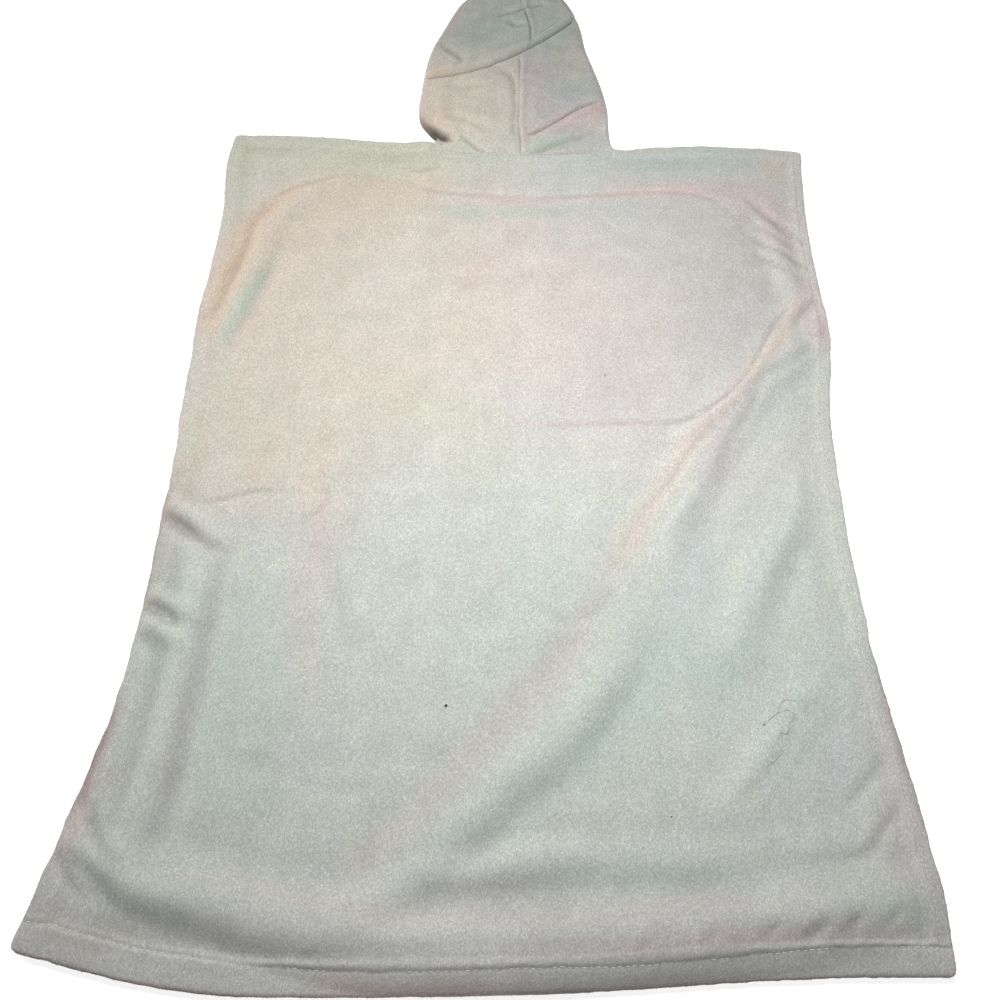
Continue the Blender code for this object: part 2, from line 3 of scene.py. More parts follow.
import bpy
import mathutils
import numpy as np
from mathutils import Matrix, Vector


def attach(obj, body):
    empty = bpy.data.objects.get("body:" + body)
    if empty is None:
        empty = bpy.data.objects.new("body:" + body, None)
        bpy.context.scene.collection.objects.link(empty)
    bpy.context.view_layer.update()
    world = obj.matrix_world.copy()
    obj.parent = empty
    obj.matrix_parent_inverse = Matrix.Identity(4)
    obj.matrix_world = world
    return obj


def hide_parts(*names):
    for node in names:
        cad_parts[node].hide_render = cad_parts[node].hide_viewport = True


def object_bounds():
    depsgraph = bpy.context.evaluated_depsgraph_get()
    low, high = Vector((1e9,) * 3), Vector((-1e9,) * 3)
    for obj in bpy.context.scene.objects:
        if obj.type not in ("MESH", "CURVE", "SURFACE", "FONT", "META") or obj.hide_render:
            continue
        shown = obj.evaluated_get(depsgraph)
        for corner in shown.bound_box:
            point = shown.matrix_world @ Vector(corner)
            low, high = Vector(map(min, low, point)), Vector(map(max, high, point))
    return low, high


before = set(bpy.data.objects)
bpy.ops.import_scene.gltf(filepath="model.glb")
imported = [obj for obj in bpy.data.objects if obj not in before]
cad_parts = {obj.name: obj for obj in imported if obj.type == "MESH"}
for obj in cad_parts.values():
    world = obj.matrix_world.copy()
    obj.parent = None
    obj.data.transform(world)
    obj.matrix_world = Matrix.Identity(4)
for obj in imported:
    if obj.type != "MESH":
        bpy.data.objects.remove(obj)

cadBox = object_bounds()
halfLength = (cadBox[1].y - cadBox[0].y) / 2  # "along" below is measured from the lowest point of the hem

cloth = {
    "single": 0.0022,  # one layer of terry
    "turned": 0.0036,  # where an edge is turned over and stitched
    "gap": 0.0003,  # between neighbouring layers
    "hemTurn": 0.020,
    "edgeTurn": 0.010,
    "edgeStep": 0.0015,  # run of the cloth over the edge of a turning
    "rimRows": 9,  # rows and columns that both layers share along the rim
    "undersideSkip": 4,  # further in, the underside keeps every fourth row and column
    "edgeRows": [0.0, 0.0002, 0.0006, 0.0012, 0.0019, 0.0030, 0.0045, 0.0058],  # rounds the rim
    "corner": 0.0055,
}


def smooth(knots, values, at):
    # cubic curve through the values at their knots
    at = np.clip(at, knots[0], knots[-1])
    slopes = np.gradient(values, knots)
    first = np.clip(np.searchsorted(knots, at) - 1, 0, len(knots) - 2)
    span = knots[first + 1] - knots[first]
    s = (at - knots[first]) / span
    startPart = ((1 + 2 * s) * values[first] + s * span * slopes[first]) * (1 - s) ** 2
    endPart = ((3 - 2 * s) * values[first + 1] - (1 - s) * span * slopes[first + 1]) * s ** 2
    return startPart + endPart


def readTable(table, at, column=1):
    # a column of the table as a smooth curve over its first one
    return smooth(table[:, 0], table[:, column], at)


def smoothPath(path):
    # a path's columns, read closely on a smooth curve through its points
    points = np.array(path, float)
    knots = np.arange(len(points), dtype=float)
    fine = np.linspace(0.0, knots[-1], 8 * len(points))
    return fine, [smooth(knots, points[:, k], fine) for k in range(points.shape[1])]


def ramp(value, start, end):
    # 0 before start, 1 after end, soft between
    s = np.clip((value - start) / (end - start), 0.0, 1.0)
    return s * s * (3 - 2 * s)


def bell(away, width):
    return np.exp(-((away / width) ** 2))


def mound(reach):
    # 1 in the middle and 0 from a reach of 1 on
    return 0.5 + 0.5 * np.cos(math.pi * np.clip(reach, 0.0, 1.0))


def wobble(x, y, size, seed):
    # soft random unevenness of about the given size, between -1 and 1
    rng = np.random.default_rng(seed)
    total = np.zeros(np.broadcast(x, y).shape)
    waves = 9
    for _ in range(waves):
        angle, phase, length = rng.uniform(0, 2 * math.pi, 3)
        wave = size * (0.7 + 0.14 * length)
        total += np.sin(2 * math.pi * (x * math.cos(angle) + y * math.sin(angle)) / wave + phase)
    return total / (0.6 * waves)


def uneven(x, y, waves):
    # several wobbles at once, each with its height, size across and seed
    return sum(height * wobble(x, y, size, seed) for height, size, seed in waves)


def alongPath(x, y, path, reach):
    # distance to a smooth path, the hand on which a point lies, and the path's third value there
    _, (px, py, share) = smoothPath(path)
    away = np.full(x.shape, np.inf)
    hand = np.ones(x.shape)
    value = np.zeros(x.shape)
    near = (x > px.min() - reach) & (x < px.max() + reach) & (y > py.min() - reach) & (y < py.max() + reach)
    if not near.any():
        return away, hand, value
    nx, ny = x[near], y[near]
    best, side, worth = np.full(nx.shape, np.inf), np.ones(nx.shape), np.zeros(nx.shape)
    for k in range(len(px) - 1):
        runX, runY = px[k + 1] - px[k], py[k + 1] - py[k]
        s = np.clip(((nx - px[k]) * runX + (ny - py[k]) * runY) / (runX ** 2 + runY ** 2), 0.0, 1.0)
        offX, offY = nx - px[k] - s * runX, ny - py[k] - s * runY
        distance = np.hypot(offX, offY)
        nearer = distance < best
        best = np.where(nearer, distance, best)
        side = np.where(nearer, np.where(runX * offY - runY * offX > 0, 1.0, -1.0), side)
        worth = np.where(nearer, share[k] + s * (share[k + 1] - share[k]), worth)
    away[near], hand[near], value[near] = best, side, worth
    return away, hand, value


def foldHeight(x, along, folds):
    total = np.zeros(x.shape)
    for _, height, leftWidth, rightWidth, path in folds:
        away, hand, share = alongPath(x, along, path, max(leftWidth, rightWidth))
        total += height * share * mound(away / np.where(hand > 0, leftWidth, rightWidth))
    return total


def creaseHeight(x, along, creases):
    total = np.zeros(x.shape)
    for _, height, width, path in creases:
        away, _, share = alongPath(x, along, path, 3 * width)
        total += height * share * bell(away, width)
    return total


def even(start, end, step):
    count = max(2, int(round((end - start) / step)))
    return list(np.linspace(start, end, count + 1)[1:-1])


def spaced(start, end, steps):
    # places between start and end, as far apart as the table of (place, step) says
    fine = np.linspace(start, end, 3000)
    perStep = 1 / np.interp(fine, *np.array(steps).T)
    passed = np.concatenate([[0.0], np.cumsum((perStep[1:] + perStep[:-1]) / 2 * np.diff(fine))])
    count = int(round(passed[-1]))
    return np.interp(np.arange(1, count) * passed[-1] / count, passed, fine)


def addObject(name, data):
    piece = bpy.data.objects.new(name, data)
    bpy.context.scene.collection.objects.link(piece)
    return piece


def newMesh(name, points, faces, material):
    mesh = bpy.data.meshes.new(name)
    mesh.from_pydata(points, [], faces)
    mesh.shade_smooth()
    mesh.materials.append(material)
    return addObject(name, mesh)


def gridFaces(index, flip=False):
    a, b = index[:-1, :-1], index[:-1, 1:]
    c, d = index[1:, 1:], index[1:, :-1]
    corners = (a, b, c, d) if not flip else (d, c, b, a)
    return np.stack(corners, axis=-1).reshape(-1, 4)


def keptLines(count, skip):
    edge = cloth["rimRows"]
    return np.array([*range(edge), *range(edge, count - edge, skip), *range(count - edge, count)])


def closedCloth(name, x, along, upper, under, material, skip):
    # two grids that share their rim, sewn into one closed shell; the lower one is coarser
    top, bottom = toPoints(x, along, upper), toPoints(x, along, under)
    rows, columns = x.shape
    fine = np.arange(rows * columns).reshape(rows, columns)
    keptRows, keptColumns = keptLines(rows, skip), keptLines(columns, skip)
    coarse = fine[np.ix_(keptRows, keptColumns)].copy()
    inner = (len(keptRows) - 2, len(keptColumns) - 2)
    coarse[1:-1, 1:-1] = rows * columns + np.arange(inner[0] * inner[1]).reshape(inner)
    below = bottom[np.ix_(keptRows, keptColumns)][1:-1, 1:-1]
    points = np.concatenate([top.reshape(-1, 3), below.reshape(-1, 3)])
    faces = gridFaces(fine).tolist() + gridFaces(coarse[1:-1, 1:-1], flip=True).tolist()
    for k in range(len(keptColumns) - 1):
        rim = slice(keptColumns[k], keptColumns[k + 1] + 1)
        faces.append([coarse[1, k], coarse[1, k + 1], *fine[0, rim][::-1]])
        faces.append([*fine[-1, rim], coarse[-2, k + 1], coarse[-2, k]])
    for k in range(1, len(keptRows) - 2):
        rim = slice(keptRows[k], keptRows[k + 1] + 1)
        faces.append([*fine[rim, 0], coarse[k + 1, 1], coarse[k, 1]])
        faces.append([coarse[k, -2], coarse[k + 1, -2], *fine[rim, -1][::-1]])
    return newMesh(name, points.tolist(), faces, material)


def toPoints(x, along, z):
    return np.stack([x, along - halfLength, z], axis=-1)


def rimProfile(inset, halfThickness):
    # how far a layer stands from the middle of the cloth: nothing at its edge, all of it a little inside
    s = np.clip(inset / (halfThickness * 1.15), 0.0, 1.0)
    return np.sqrt(1 - (1 - s) ** 2)


def store(piece, name, field, rest):
    # keeps a value for each point of the piece, with the field's on its first points
    values = np.full(len(piece.data.vertices), rest)
    values[:field.size] = field.ravel()
    layer = piece.data.attributes.new(name, "FLOAT", "POINT")
    layer.data.foreach_set("value", values)


armholeBottom = 0.620
shoulder = 0.885
sideAtHem = 0.03  # where the sides are read for the columns of the hem
sides = np.array([  # along, left, right
    (0, -0.3445, 0.3415), (0.03, -0.342, 0.3425), (0.073, -0.334, 0.3435), (0.118, -0.3245, 0.34),
    (0.165, -0.3155, 0.3345), (0.215, -0.3085, 0.328), (0.268, -0.305, 0.3205), (0.324, -0.3045, 0.317),
    (0.384, -0.306, 0.314), (0.448, -0.307, 0.314), (0.517, -0.312, 0.315), (0.592, -0.315, 0.325),
    (0.62, -0.317, 0.328), (0.672, -0.316, 0.325), (0.759, -0.316, 0.322), (0.853, -0.325, 0.326),
    (0.893, -0.323, 0.329),
])
hemLine = np.array([  # x, along
    (-0.344, 0.024), (-0.305, 0.016), (-0.243, 0.005), (-0.185, 0), (-0.127, 0.001), (-0.027, 0.005),
    (0.087, 0.012), (0.159, 0.019), (0.231, 0.025), (0.303, 0.029), (0.344, 0.03),
])
topLine = np.array([  # x, along
    (-0.323, 0.892), (-0.249, 0.893), (-0.178, 0.889), (-0.131, 0.884), (-0.092, 0.877), (0.011, 0.871),
    (0.11, 0.88), (0.168, 0.889), (0.214, 0.892), (0.283, 0.89), (0.329, 0.886),
])
edgeWander = [(0.0007, 0.030), (0.00042, 0.011)]  # height and size: terry edges are never quite straight
neck = {
    "left": -0.0945,
    "right": 0.1120,
    "scoop": 0.075,  # how far the front neckline drops
    "zone": 0.760,  # the hood's under layer reaches under the back from here on
    "lift": 0.0016,
    "flareLeft": 0.0122,  # the shoulders run up into the hood
    "leftInside": 0.004,  # the flare's crest, inside the corner of the neck
    "leftOuterWidth": 0.033,
    "leftInnerWidth": 0.012,
    "flareRight": 0.0045,
    "rightOutside": 0.003,
    "rightWidth": 0.008,
}


def wander(at, seed):
    return uneven(at, 0.0, [(height, size, seed + k) for k, (height, size) in enumerate(edgeWander)])


def leftSide(along):
    return readTable(sides, along) + wander(along, 11)


def rightSide(along):
    return readTable(sides, along, 2) + wander(along, 21)


def hemEdge(x):
    return readTable(hemLine, x) + np.abs(wander(x, 31))


def inNeck(x):
    return (x > neck["left"]) & (x < neck["right"])


def topEdge(x):
    fromLeft = x - neck["left"] - neck["leftInside"]
    leftWidth = np.where(fromLeft < 0, neck["leftOuterWidth"], neck["leftInnerWidth"])
    flareLeft = neck["flareLeft"] * bell(fromLeft, leftWidth)
    flareRight = neck["flareRight"] * bell(x - neck["right"] - neck["rightOutside"], neck["rightWidth"])
    return readTable(topLine, x) + wander(x, 41) * ~inNeck(x) + flareLeft + flareRight


def scoopEdge(x):
    middle = (neck["left"] + neck["right"]) / 2
    offCentre = np.abs(x - middle) / (neck["right"] - middle)
    return topEdge(x) - neck["scoop"] * (1 - np.minimum(offCentre, 1.0) ** 2.2)


def fromEdges(x, along):
    # distances to the hem, the left side, the right side and the shoulders
    return along - hemEdge(x), x - leftSide(along), rightSide(along) - x, topEdge(x) - along


def bodyGrid(hemRows, shoulderRows, rowSteps, sideColumns, topX, topOf, inset=0.0):
    # x and along of a panel's points, and how far inside the edges each one is
    leftTop, rightTop = leftSide(shoulder) + inset, rightSide(shoulder) - inset
    hemLeft, hemRight = leftSide(sideAtHem), rightSide(sideAtHem)
    near = len(sideColumns)
    columnsX = [*[leftTop + c for c in sideColumns], *topX, *[rightTop - c for c in reversed(sideColumns)]]
    middleShares = None
    allX, allAlong = [], []
    for number, topAt in enumerate(columnsX):
        end = topOf(topAt) - inset
        share = (topAt - leftSide(end)) / (rightSide(end) - leftSide(end))
        start = hemEdge(hemLeft + share * (hemRight - hemLeft)) + inset
        first, last = start + hemRows[-1], end - shoulderRows[-1]
        if middleShares is None:
            middleShares = (spaced(first, last, rowSteps) - first) / (last - first)
        middle = first - start + middleShares * (last - first)
        along = start + np.array([*hemRows, *middle, *[end - start - r for r in reversed(shoulderRows)]])
        left, right = leftSide(along) + inset, rightSide(along) - inset
        if number < near:
            x = left + sideColumns[number]
        elif number >= len(columnsX) - near:
            x = right - sideColumns[len(columnsX) - 1 - number]
        else:
            x = left + (topAt - leftTop) / (rightTop - leftTop) * (right - left)
        allX.append(x)
        allAlong.append(along)
    x, along = np.array(allX).T, np.array(allAlong).T
    rowInset = np.minimum(along - along[0], along[-1] - along)
    columnInset = np.minimum(x - x[:, :1], x[:, -1:] - x)
    return x, along, rowInset, columnInset


def roundCorners(x, along, rowInset, columnInset):
    # the square corner of the grid is drawn in to a quarter circle
    radius = cloth["corner"]
    u = np.clip((radius - columnInset) / radius, 0, 1)
    v = np.clip((radius - rowInset) / radius, 0, 1)
    towardsMiddle = np.where(x < 0, 1, -1)
    towardsCentre = np.where(along < along.mean(), 1, -1)
    moveX = radius * (u - u * np.sqrt(1 - v ** 2 / 2))
    moveAlong = radius * (v - v * np.sqrt(1 - u ** 2 / 2))
    return x + towardsMiddle * moveX, along + towardsCentre * moveAlong


def turnedShare(x, along, extra=0.0, soften=cloth["edgeStep"]):
    # 1 on the turned edges of a panel and 0 on its single cloth
    fromHem, *fromOthers = fromEdges(x, along)
    hemTurn, edgeTurn = cloth["hemTurn"] + extra, cloth["edgeTurn"] + extra
    atHem = 1 - ramp(fromHem, hemTurn, hemTurn + soften)
    atLeft, atRight, atTop = (1 - ramp(away, edgeTurn, edgeTurn + 2 * soften) for away in fromOthers)
    return np.maximum.reduce([atHem, atLeft, atRight, np.where(inNeck(x), 0.0, atTop)])


back = {
    "loft": 0.0026,  # air that the back holds over the front
    "loftRun": 0.045,
    "armholeLift": 0.0006,
    "ease": 0.030,  # run over which it rises to the neck and the armholes
    "turnExtra": 0.0015,  # how far the front's turnings are felt beyond their edge
    "turnSoften": 0.012,
    "wallSoften": 0.006,
    "leastWall": 0.6,  # share of its thickness that the cloth keeps where a crease reaches the front
    "bandPuff": 0.0005,  # the hem band swells between its edge and its stitching
    "grooveDepth": 0.0005,  # stitching pulls the pile down
    "grooveWidth": 0.0011,
    "lipHeight": 0.0005,  # and the cloth beyond it stands up again
    "lipWidth": 0.0020,
    "lipAway": 0.0030,
    "puckerHeight": 0.00035,
    "puckerAway": 0.004,
    "puckerWidth": 0.009,
    "pullSize": 0.012,
    "puckerSize": 0.016,
    "stitchWander": [(0.0005, 0.030, 51)],
    "hemFade": (-0.34, -0.20),  # the hem's stitching pulls less at its left end
    "armholeBlend": 0.006,
    "cornerFade": 0.004,
    "armholeStitch": 0.0075,
    "sideStitch": 0.0090,
    "leftStrength": 0.35,  # of the relief beside a seam
    "rightStrength": 0.4,
    "sideStrength": 0.12,
    "neckRows": [(0.0032, 0.7), (0.0125, 0.45)],  # distance below the neck seam, strength
    "foldFade": 0.014,  # folds and creases end at the edges
    "swellFade": 0.002,
    "creaseFade": 0.008,
    "unevenness": [(0.0010, 0.120, 3), (0.0005, 0.050, 5), (0.00016, 0.021, 7)],  # height, size, seed
    "unevenStart": 0.002,
    "rowSteps": [  # along, spacing of the cloth's points: close where it is creased
        (0.00, 0.0030), (0.46, 0.0030), (0.66, 0.0032), (0.70, 0.0046), (0.77, 0.0046), (0.79, 0.0028),
        (0.85, 0.0028), (0.90, 0.0040),
    ],
    "columnSteps": [
        (-0.32, 0.0028), (-0.24, 0.0030), (-0.20, 0.0052), (0.06, 0.0052), (0.12, 0.0028), (0.33, 0.0027),
    ],
    "hemRows": [*cloth["edgeRows"], 0.0085, 0.0110, *np.linspace(0.0128, 0.0290, 19), 0.0320],
    "sideColumns": [*cloth["edgeRows"], *np.linspace(0.0066, 0.0125, 9), 0.0145, 0.0175],
    "shoulderRows": [
        *cloth["edgeRows"], 0.0075, 0.0092, 0.0104, 0.0114, 0.0125, 0.0136, 0.0150, 0.0175,
    ],
}
backFolds = [  # name, height, width on the left and right hand of its path, path of (x, along, share)
    ("armhole to hem, low", 0.006, 0.055, 0.03, [
        (-0.11, 0.045, 0.2), (-0.075, 0.075, 0.5), (-0.035, 0.112, 0.8), (0.008, 0.152, 1),
        (0.05, 0.192, 1), (0.088, 0.24, 0.95), (0.106, 0.275, 0.7), (0.112, 0.31, 0.25),
    ]),
    ("armhole to hem, high", 0.0058, 0.055, 0.027, [
        (0.122, 0.31, 0.1), (0.14, 0.35, 0.4), (0.159, 0.4, 0.7), (0.188, 0.455, 0.9), (0.213, 0.5, 1),
        (0.238, 0.54, 1), (0.27, 0.578, 0.85), (0.305, 0.612, 0.5),
    ]),
    ("right middle", 0.0041, 0.036, 0.03, [(0.195, 0.255, 0.5), (0.232, 0.35, 1), (0.266, 0.42, 0.6)]),
    ("right low", 0.0036, 0.032, 0.026, [(0.19, 0.148, 0.6), (0.225, 0.192, 1), (0.262, 0.238, 0.6)]),
    ("low middle", 0.0044, 0.026, 0.026, [
        (-0.11, 0.064, 0.3), (-0.05, 0.082, 0.8), (0, 0.093, 1), (0.055, 0.104, 0.9), (0.11, 0.107, 0.5),
        (0.19, 0.103, 0.2),
    ]),
    ("left side", 0.007, 0.022, 0.026, [
        (-0.276, 0.1, 0.5), (-0.267, 0.15, 1), (-0.263, 0.215, 1), (-0.263, 0.27, 1), (-0.265, 0.325, 0.7),
        (-0.268, 0.355, 0.3),
    ]),
    ("left wedge low", 0.0042, 0.011, 0.012, [(-0.304, 0.284, 1), (-0.286, 0.278, 1), (-0.26, 0.262, 0.5)]),
    ("left wedge middle", 0.0042, 0.018, 0.01, [
        (-0.304, 0.311, 1), (-0.286, 0.304, 1), (-0.26, 0.29, 0.5),
    ]),
    ("left wedge high", 0.0058, 0.024, 0.012, [
        (-0.306, 0.399, 1), (-0.28, 0.386, 1), (-0.256, 0.367, 0.5),
    ]),
    ("left armhole", 0.0036, 0.018, 0.022, [
        (-0.297, 0.59, 0.4), (-0.281, 0.65, 1), (-0.27, 0.706, 1), (-0.26, 0.756, 0.8),
        (-0.232, 0.802, 0.3),
    ]),
    ("right armhole", 0.0045, 0.026, 0.022, [(0.298, 0.66, 0.7), (0.29, 0.705, 1), (0.276, 0.765, 0.5)]),
]
hemSwell = np.array([  # x, crest along, reach towards the hem, height, reach beyond, how hard it lands
    (-0.345, 0.112, 0.01, 0, 0.02, 0), (-0.3, 0.094, 0.016, 0.0034, 0.03, 0),
    (-0.27, 0.075, 0.022, 0.008, 0.04, 0), (-0.23, 0.065, 0.026, 0.0092, 0.048, 0),
    (-0.18, 0.054, 0.028, 0.0096, 0.05, 0.1), (-0.13, 0.046, 0.034, 0.01, 0.05, 0.5),
    (-0.08, 0.041, 0.036, 0.011, 0.048, 0.9), (-0.02, 0.037, 0.032, 0.0122, 0.045, 1),
    (0.05, 0.039, 0.031, 0.0126, 0.045, 1), (0.12, 0.046, 0.03, 0.012, 0.045, 1),
    (0.18, 0.055, 0.032, 0.0112, 0.045, 0.8), (0.24, 0.066, 0.036, 0.0095, 0.045, 0.4),
    (0.29, 0.076, 0.038, 0.0066, 0.04, 0.1), (0.345, 0.088, 0.04, 0.001, 0.035, 0),
])
backCreases = [  # name, height (a trough is negative), width, path of (x, along, share)
    ("lip line", -0.0026, 0.003, [
        (0.045, 0.499, 0.2), (0.09, 0.501, 0.4), (0.125, 0.505, 0.5), (0.16, 0.506, 0.6),
        (0.182, 0.513, 0.9), (0.202, 0.525, 1), (0.222, 0.543, 1), (0.241, 0.568, 1), (0.256, 0.598, 0.9),
        (0.271, 0.628, 0.6), (0.286, 0.652, 0.3),
    ]),
    ("second lip", -0.0013, 0.004, [
        (0.203, 0.503, 0.3), (0.183, 0.482, 0.9), (0.166, 0.455, 1), (0.151, 0.431, 0.8),
        (0.13, 0.405, 0.6), (0.11, 0.37, 0.3),
    ]),
    ("ridge crest", 0.0024, 0.0055, [
        (0.16, 0.488, 0.3), (0.19, 0.508, 1), (0.214, 0.529, 1), (0.235, 0.555, 1), (0.253, 0.586, 0.8),
        (0.272, 0.618, 0.4),
    ]),
    ("crumpled crest", 0.0016, 0.005, [(0.178, 0.432, 0.4), (0.16, 0.4, 1), (0.148, 0.386, 0.5)]),
    ("foot line", -0.0017, 0.0066, [
        (0.198, 0.44, 0.3), (0.21, 0.475, 0.8), (0.226, 0.505, 1), (0.24, 0.53, 1), (0.253, 0.56, 1),
        (0.278, 0.58, 1), (0.302, 0.6, 0.8),
    ]),
    ("main valley", -0.0011, 0.02, [
        (0.166, 0.36, 0.1), (0.173, 0.395, 0.6), (0.184, 0.435, 1), (0.206, 0.475, 1), (0.235, 0.526, 0.7),
        (0.265, 0.568, 0.4),
    ]),
    ("valley low", -0.0012, 0.016, [
        (-0.066, 0.06, 0.6), (-0.01, 0.113, 1), (0.058, 0.182, 1), (0.095, 0.225, 0.8), (0.126, 0.278, 0.4),
    ]),
    ("right valley", -0.0011, 0.0125, [
        (0.18, 0.222, 0.3), (0.197, 0.248, 0.9), (0.213, 0.275, 1), (0.238, 0.32, 1), (0.26, 0.36, 0.9),
        (0.286, 0.4, 0.4),
    ]),
    ("right low valley", -0.0014, 0.008, [
        (0.19, 0.142, 0.4), (0.214, 0.166, 1), (0.24, 0.202, 1), (0.258, 0.224, 0.6), (0.282, 0.246, 0.4),
    ]),
    ("right hook", -0.0016, 0.005, [
        (0.322, 0.15, 0.3), (0.308, 0.136, 1), (0.294, 0.118, 1), (0.272, 0.11, 0.5), (0.245, 0.108, 0.2),
    ]),
    ("right ripple", -0.0016, 0.0055, [(0.318, 0.19, 0.3), (0.3, 0.17, 1), (0.28, 0.15, 0.4)]),
    ("low middle valley", -0.0011, 0.009, [
        (-0.11, 0.056, 0.4), (-0.05, 0.068, 0.9), (0, 0.078, 1), (0.06, 0.09, 0.7), (0.12, 0.094, 0.3),
        (0.2, 0.092, 0.1),
    ]),
    ("left valley", -0.0024, 0.01, [
        (-0.255, 0.115, 0.3), (-0.252, 0.16, 1), (-0.252, 0.218, 1), (-0.25, 0.285, 0.8),
        (-0.247, 0.322, 0.5), (-0.244, 0.35, 0.2),
    ]),
    ("wedge foot high", -0.0034, 0.0054, [(-0.303, 0.386, 1), (-0.282, 0.374, 1), (-0.256, 0.357, 0.4)]),
    ("wedge foot middle", -0.0028, 0.0052, [(-0.303, 0.299, 1), (-0.286, 0.292, 1), (-0.264, 0.279, 0.3)]),
    ("wedge foot low", -0.0016, 0.005, [(-0.305, 0.272, 1), (-0.297, 0.267, 1), (-0.285, 0.259, 0.3)]),
    ("left cut", -0.0024, 0.005, [
        (-0.318, 0.14, 0.5), (-0.308, 0.122, 1), (-0.298, 0.106, 1), (-0.288, 0.094, 0.8),
        (-0.276, 0.084, 0.3),
    ]),
    ("left cut low", -0.002, 0.0036, [
        (-0.332, 0.102, 0.4), (-0.324, 0.089, 1), (-0.314, 0.077, 1), (-0.304, 0.066, 0.5),
    ]),
    ("left edge pull", -0.0014, 0.006, [(-0.306, 0.42, 0.6), (-0.296, 0.435, 1), (-0.285, 0.442, 0.3)]),
    ("armhole left out", -0.0018, 0.0068, [
        (-0.311, 0.6, 0.6), (-0.303, 0.635, 1), (-0.295, 0.665, 1), (-0.286, 0.71, 1), (-0.281, 0.755, 0.7),
        (-0.27, 0.785, 0.3),
    ]),
    ("armhole left in", -0.0012, 0.0095, [
        (-0.278, 0.59, 0.8), (-0.266, 0.63, 1), (-0.255, 0.672, 1), (-0.246, 0.715, 0.6),
        (-0.238, 0.75, 0.2),
    ]),
    ("yoke line", -0.0017, 0.0032, [
        (-0.264, 0.792, 0.3), (-0.246, 0.806, 0.8), (-0.215, 0.822, 0.7), (-0.18, 0.832, 0.3),
        (-0.12, 0.82, 0.2), (-0.08, 0.808, 0.6), (-0.03, 0.805, 1), (0.01, 0.802, 1), (0.06, 0.806, 1),
        (0.11, 0.811, 0.9), (0.155, 0.816, 0.6), (0.2, 0.815, 0.6), (0.228, 0.8, 0.4), (0.246, 0.775, 0.4),
        (0.252, 0.74, 0.3), (0.25, 0.7, 0.1),
    ]),
    ("armhole right wide", -0.0016, 0.015, [
        (0.25, 0.8, 0.3), (0.262, 0.76, 1), (0.266, 0.715, 1), (0.272, 0.67, 0.6),
    ]),
    ("armhole right fan", -0.0013, 0.0034, [
        (0.262, 0.77, 0.3), (0.28, 0.757, 1), (0.3, 0.742, 0.7), (0.314, 0.728, 0.3),
    ]),
    ("armhole right one", -0.0025, 0.005, [
        (0.255, 0.812, 0.2), (0.27, 0.795, 0.8), (0.287, 0.775, 1), (0.302, 0.76, 1), (0.314, 0.745, 0.6),
    ]),
    ("armhole right two", -0.002, 0.0036, [
        (0.255, 0.752, 0.3), (0.275, 0.738, 1), (0.295, 0.726, 1), (0.314, 0.708, 0.6),
    ]),
    ("armhole right three", -0.0016, 0.0036, [(0.258, 0.728, 0.3), (0.28, 0.712, 1), (0.304, 0.694, 0.6)]),
    ("armhole right four", -0.0024, 0.0055, [(0.318, 0.664, 0.8), (0.3, 0.645, 1), (0.292, 0.628, 0.4)]),
    ("right branch", 0.001, 0.007, [
        (0.226, 0.33, 0.3), (0.25, 0.372, 1), (0.268, 0.412, 0.6), (0.276, 0.45, 0.3),
    ]),
    ("left dent", -0.0012, 0.012, [
        (-0.19, 0.376, 0.4), (-0.152, 0.352, 1), (-0.126, 0.291, 1), (-0.095, 0.254, 0.3),
    ]),
    ("left hair line", -0.0015, 0.0032, [
        (-0.272, 0.402, 0.4), (-0.25, 0.408, 1), (-0.225, 0.416, 1), (-0.205, 0.417, 0.5),
        (-0.18, 0.414, 0.2),
    ]),
    ("left hair line two", -0.0013, 0.0032, [
        (-0.158, 0.425, 0.4), (-0.16, 0.404, 1), (-0.176, 0.388, 0.5),
    ]),
    ("low tuck one", -0.0008, 0.007, [(-0.145, 0.152, 0.6), (-0.115, 0.148, 1), (-0.075, 0.152, 0.4)]),
    ("low tuck two", -0.0008, 0.008, [(-0.215, 0.18, 0.4), (-0.19, 0.168, 1), (-0.165, 0.16, 0.6)]),
    ("neck dash left", -0.0013, 0.004, [
        (-0.128, 0.846, 0.3), (-0.107, 0.841, 1), (-0.091, 0.846, 1), (-0.086, 0.852, 0.4),
    ]),
    ("middle swirl", -0.001, 0.006, [
        (0.028, 0.316, 0.4), (0.062, 0.298, 1), (0.09, 0.312, 0.8), (0.11, 0.338, 0.3),
    ]),
]
hemPuckers = [  # short slanting pulls above the hem stitching: x, along, run in x, run along, depth, width
    (0.165, 0.05, 0.012, 0.01, -0.0008, 0.0035), (0.212, 0.058, 0.016, 0.013, -0.0014, 0.004),
    (0.246, 0.06, 0.02, 0.014, -0.002, 0.0042), (0.274, 0.066, 0.018, 0.012, -0.0016, 0.004),
    (0.302, 0.07, 0.016, 0.01, -0.0014, 0.0038), (0.072, 0.042, 0.008, 0.01, -0.0007, 0.0034),
    (0.118, 0.044, 0.01, 0.009, -0.0006, 0.0032), (0.02, 0.037, 0.008, 0.009, -0.0005, 0.003),
]
hemStitchLine = np.array([  # x, distance from the hem edge
    (-0.345, 0.0215), (-0.3, 0.024), (-0.25, 0.0225), (-0.2, 0.0228), (-0.15, 0.0195), (-0.1, 0.0165),
    (-0.05, 0.0155), (0, 0.016), (0.05, 0.016), (0.1, 0.0148), (0.15, 0.0152), (0.2, 0.017), (0.25, 0.019),
    (0.3, 0.02), (0.345, 0.0195),
])


def hemStitch(x):
    return readTable(hemStitchLine, x) + uneven(x, 0.0, back["stitchWander"])


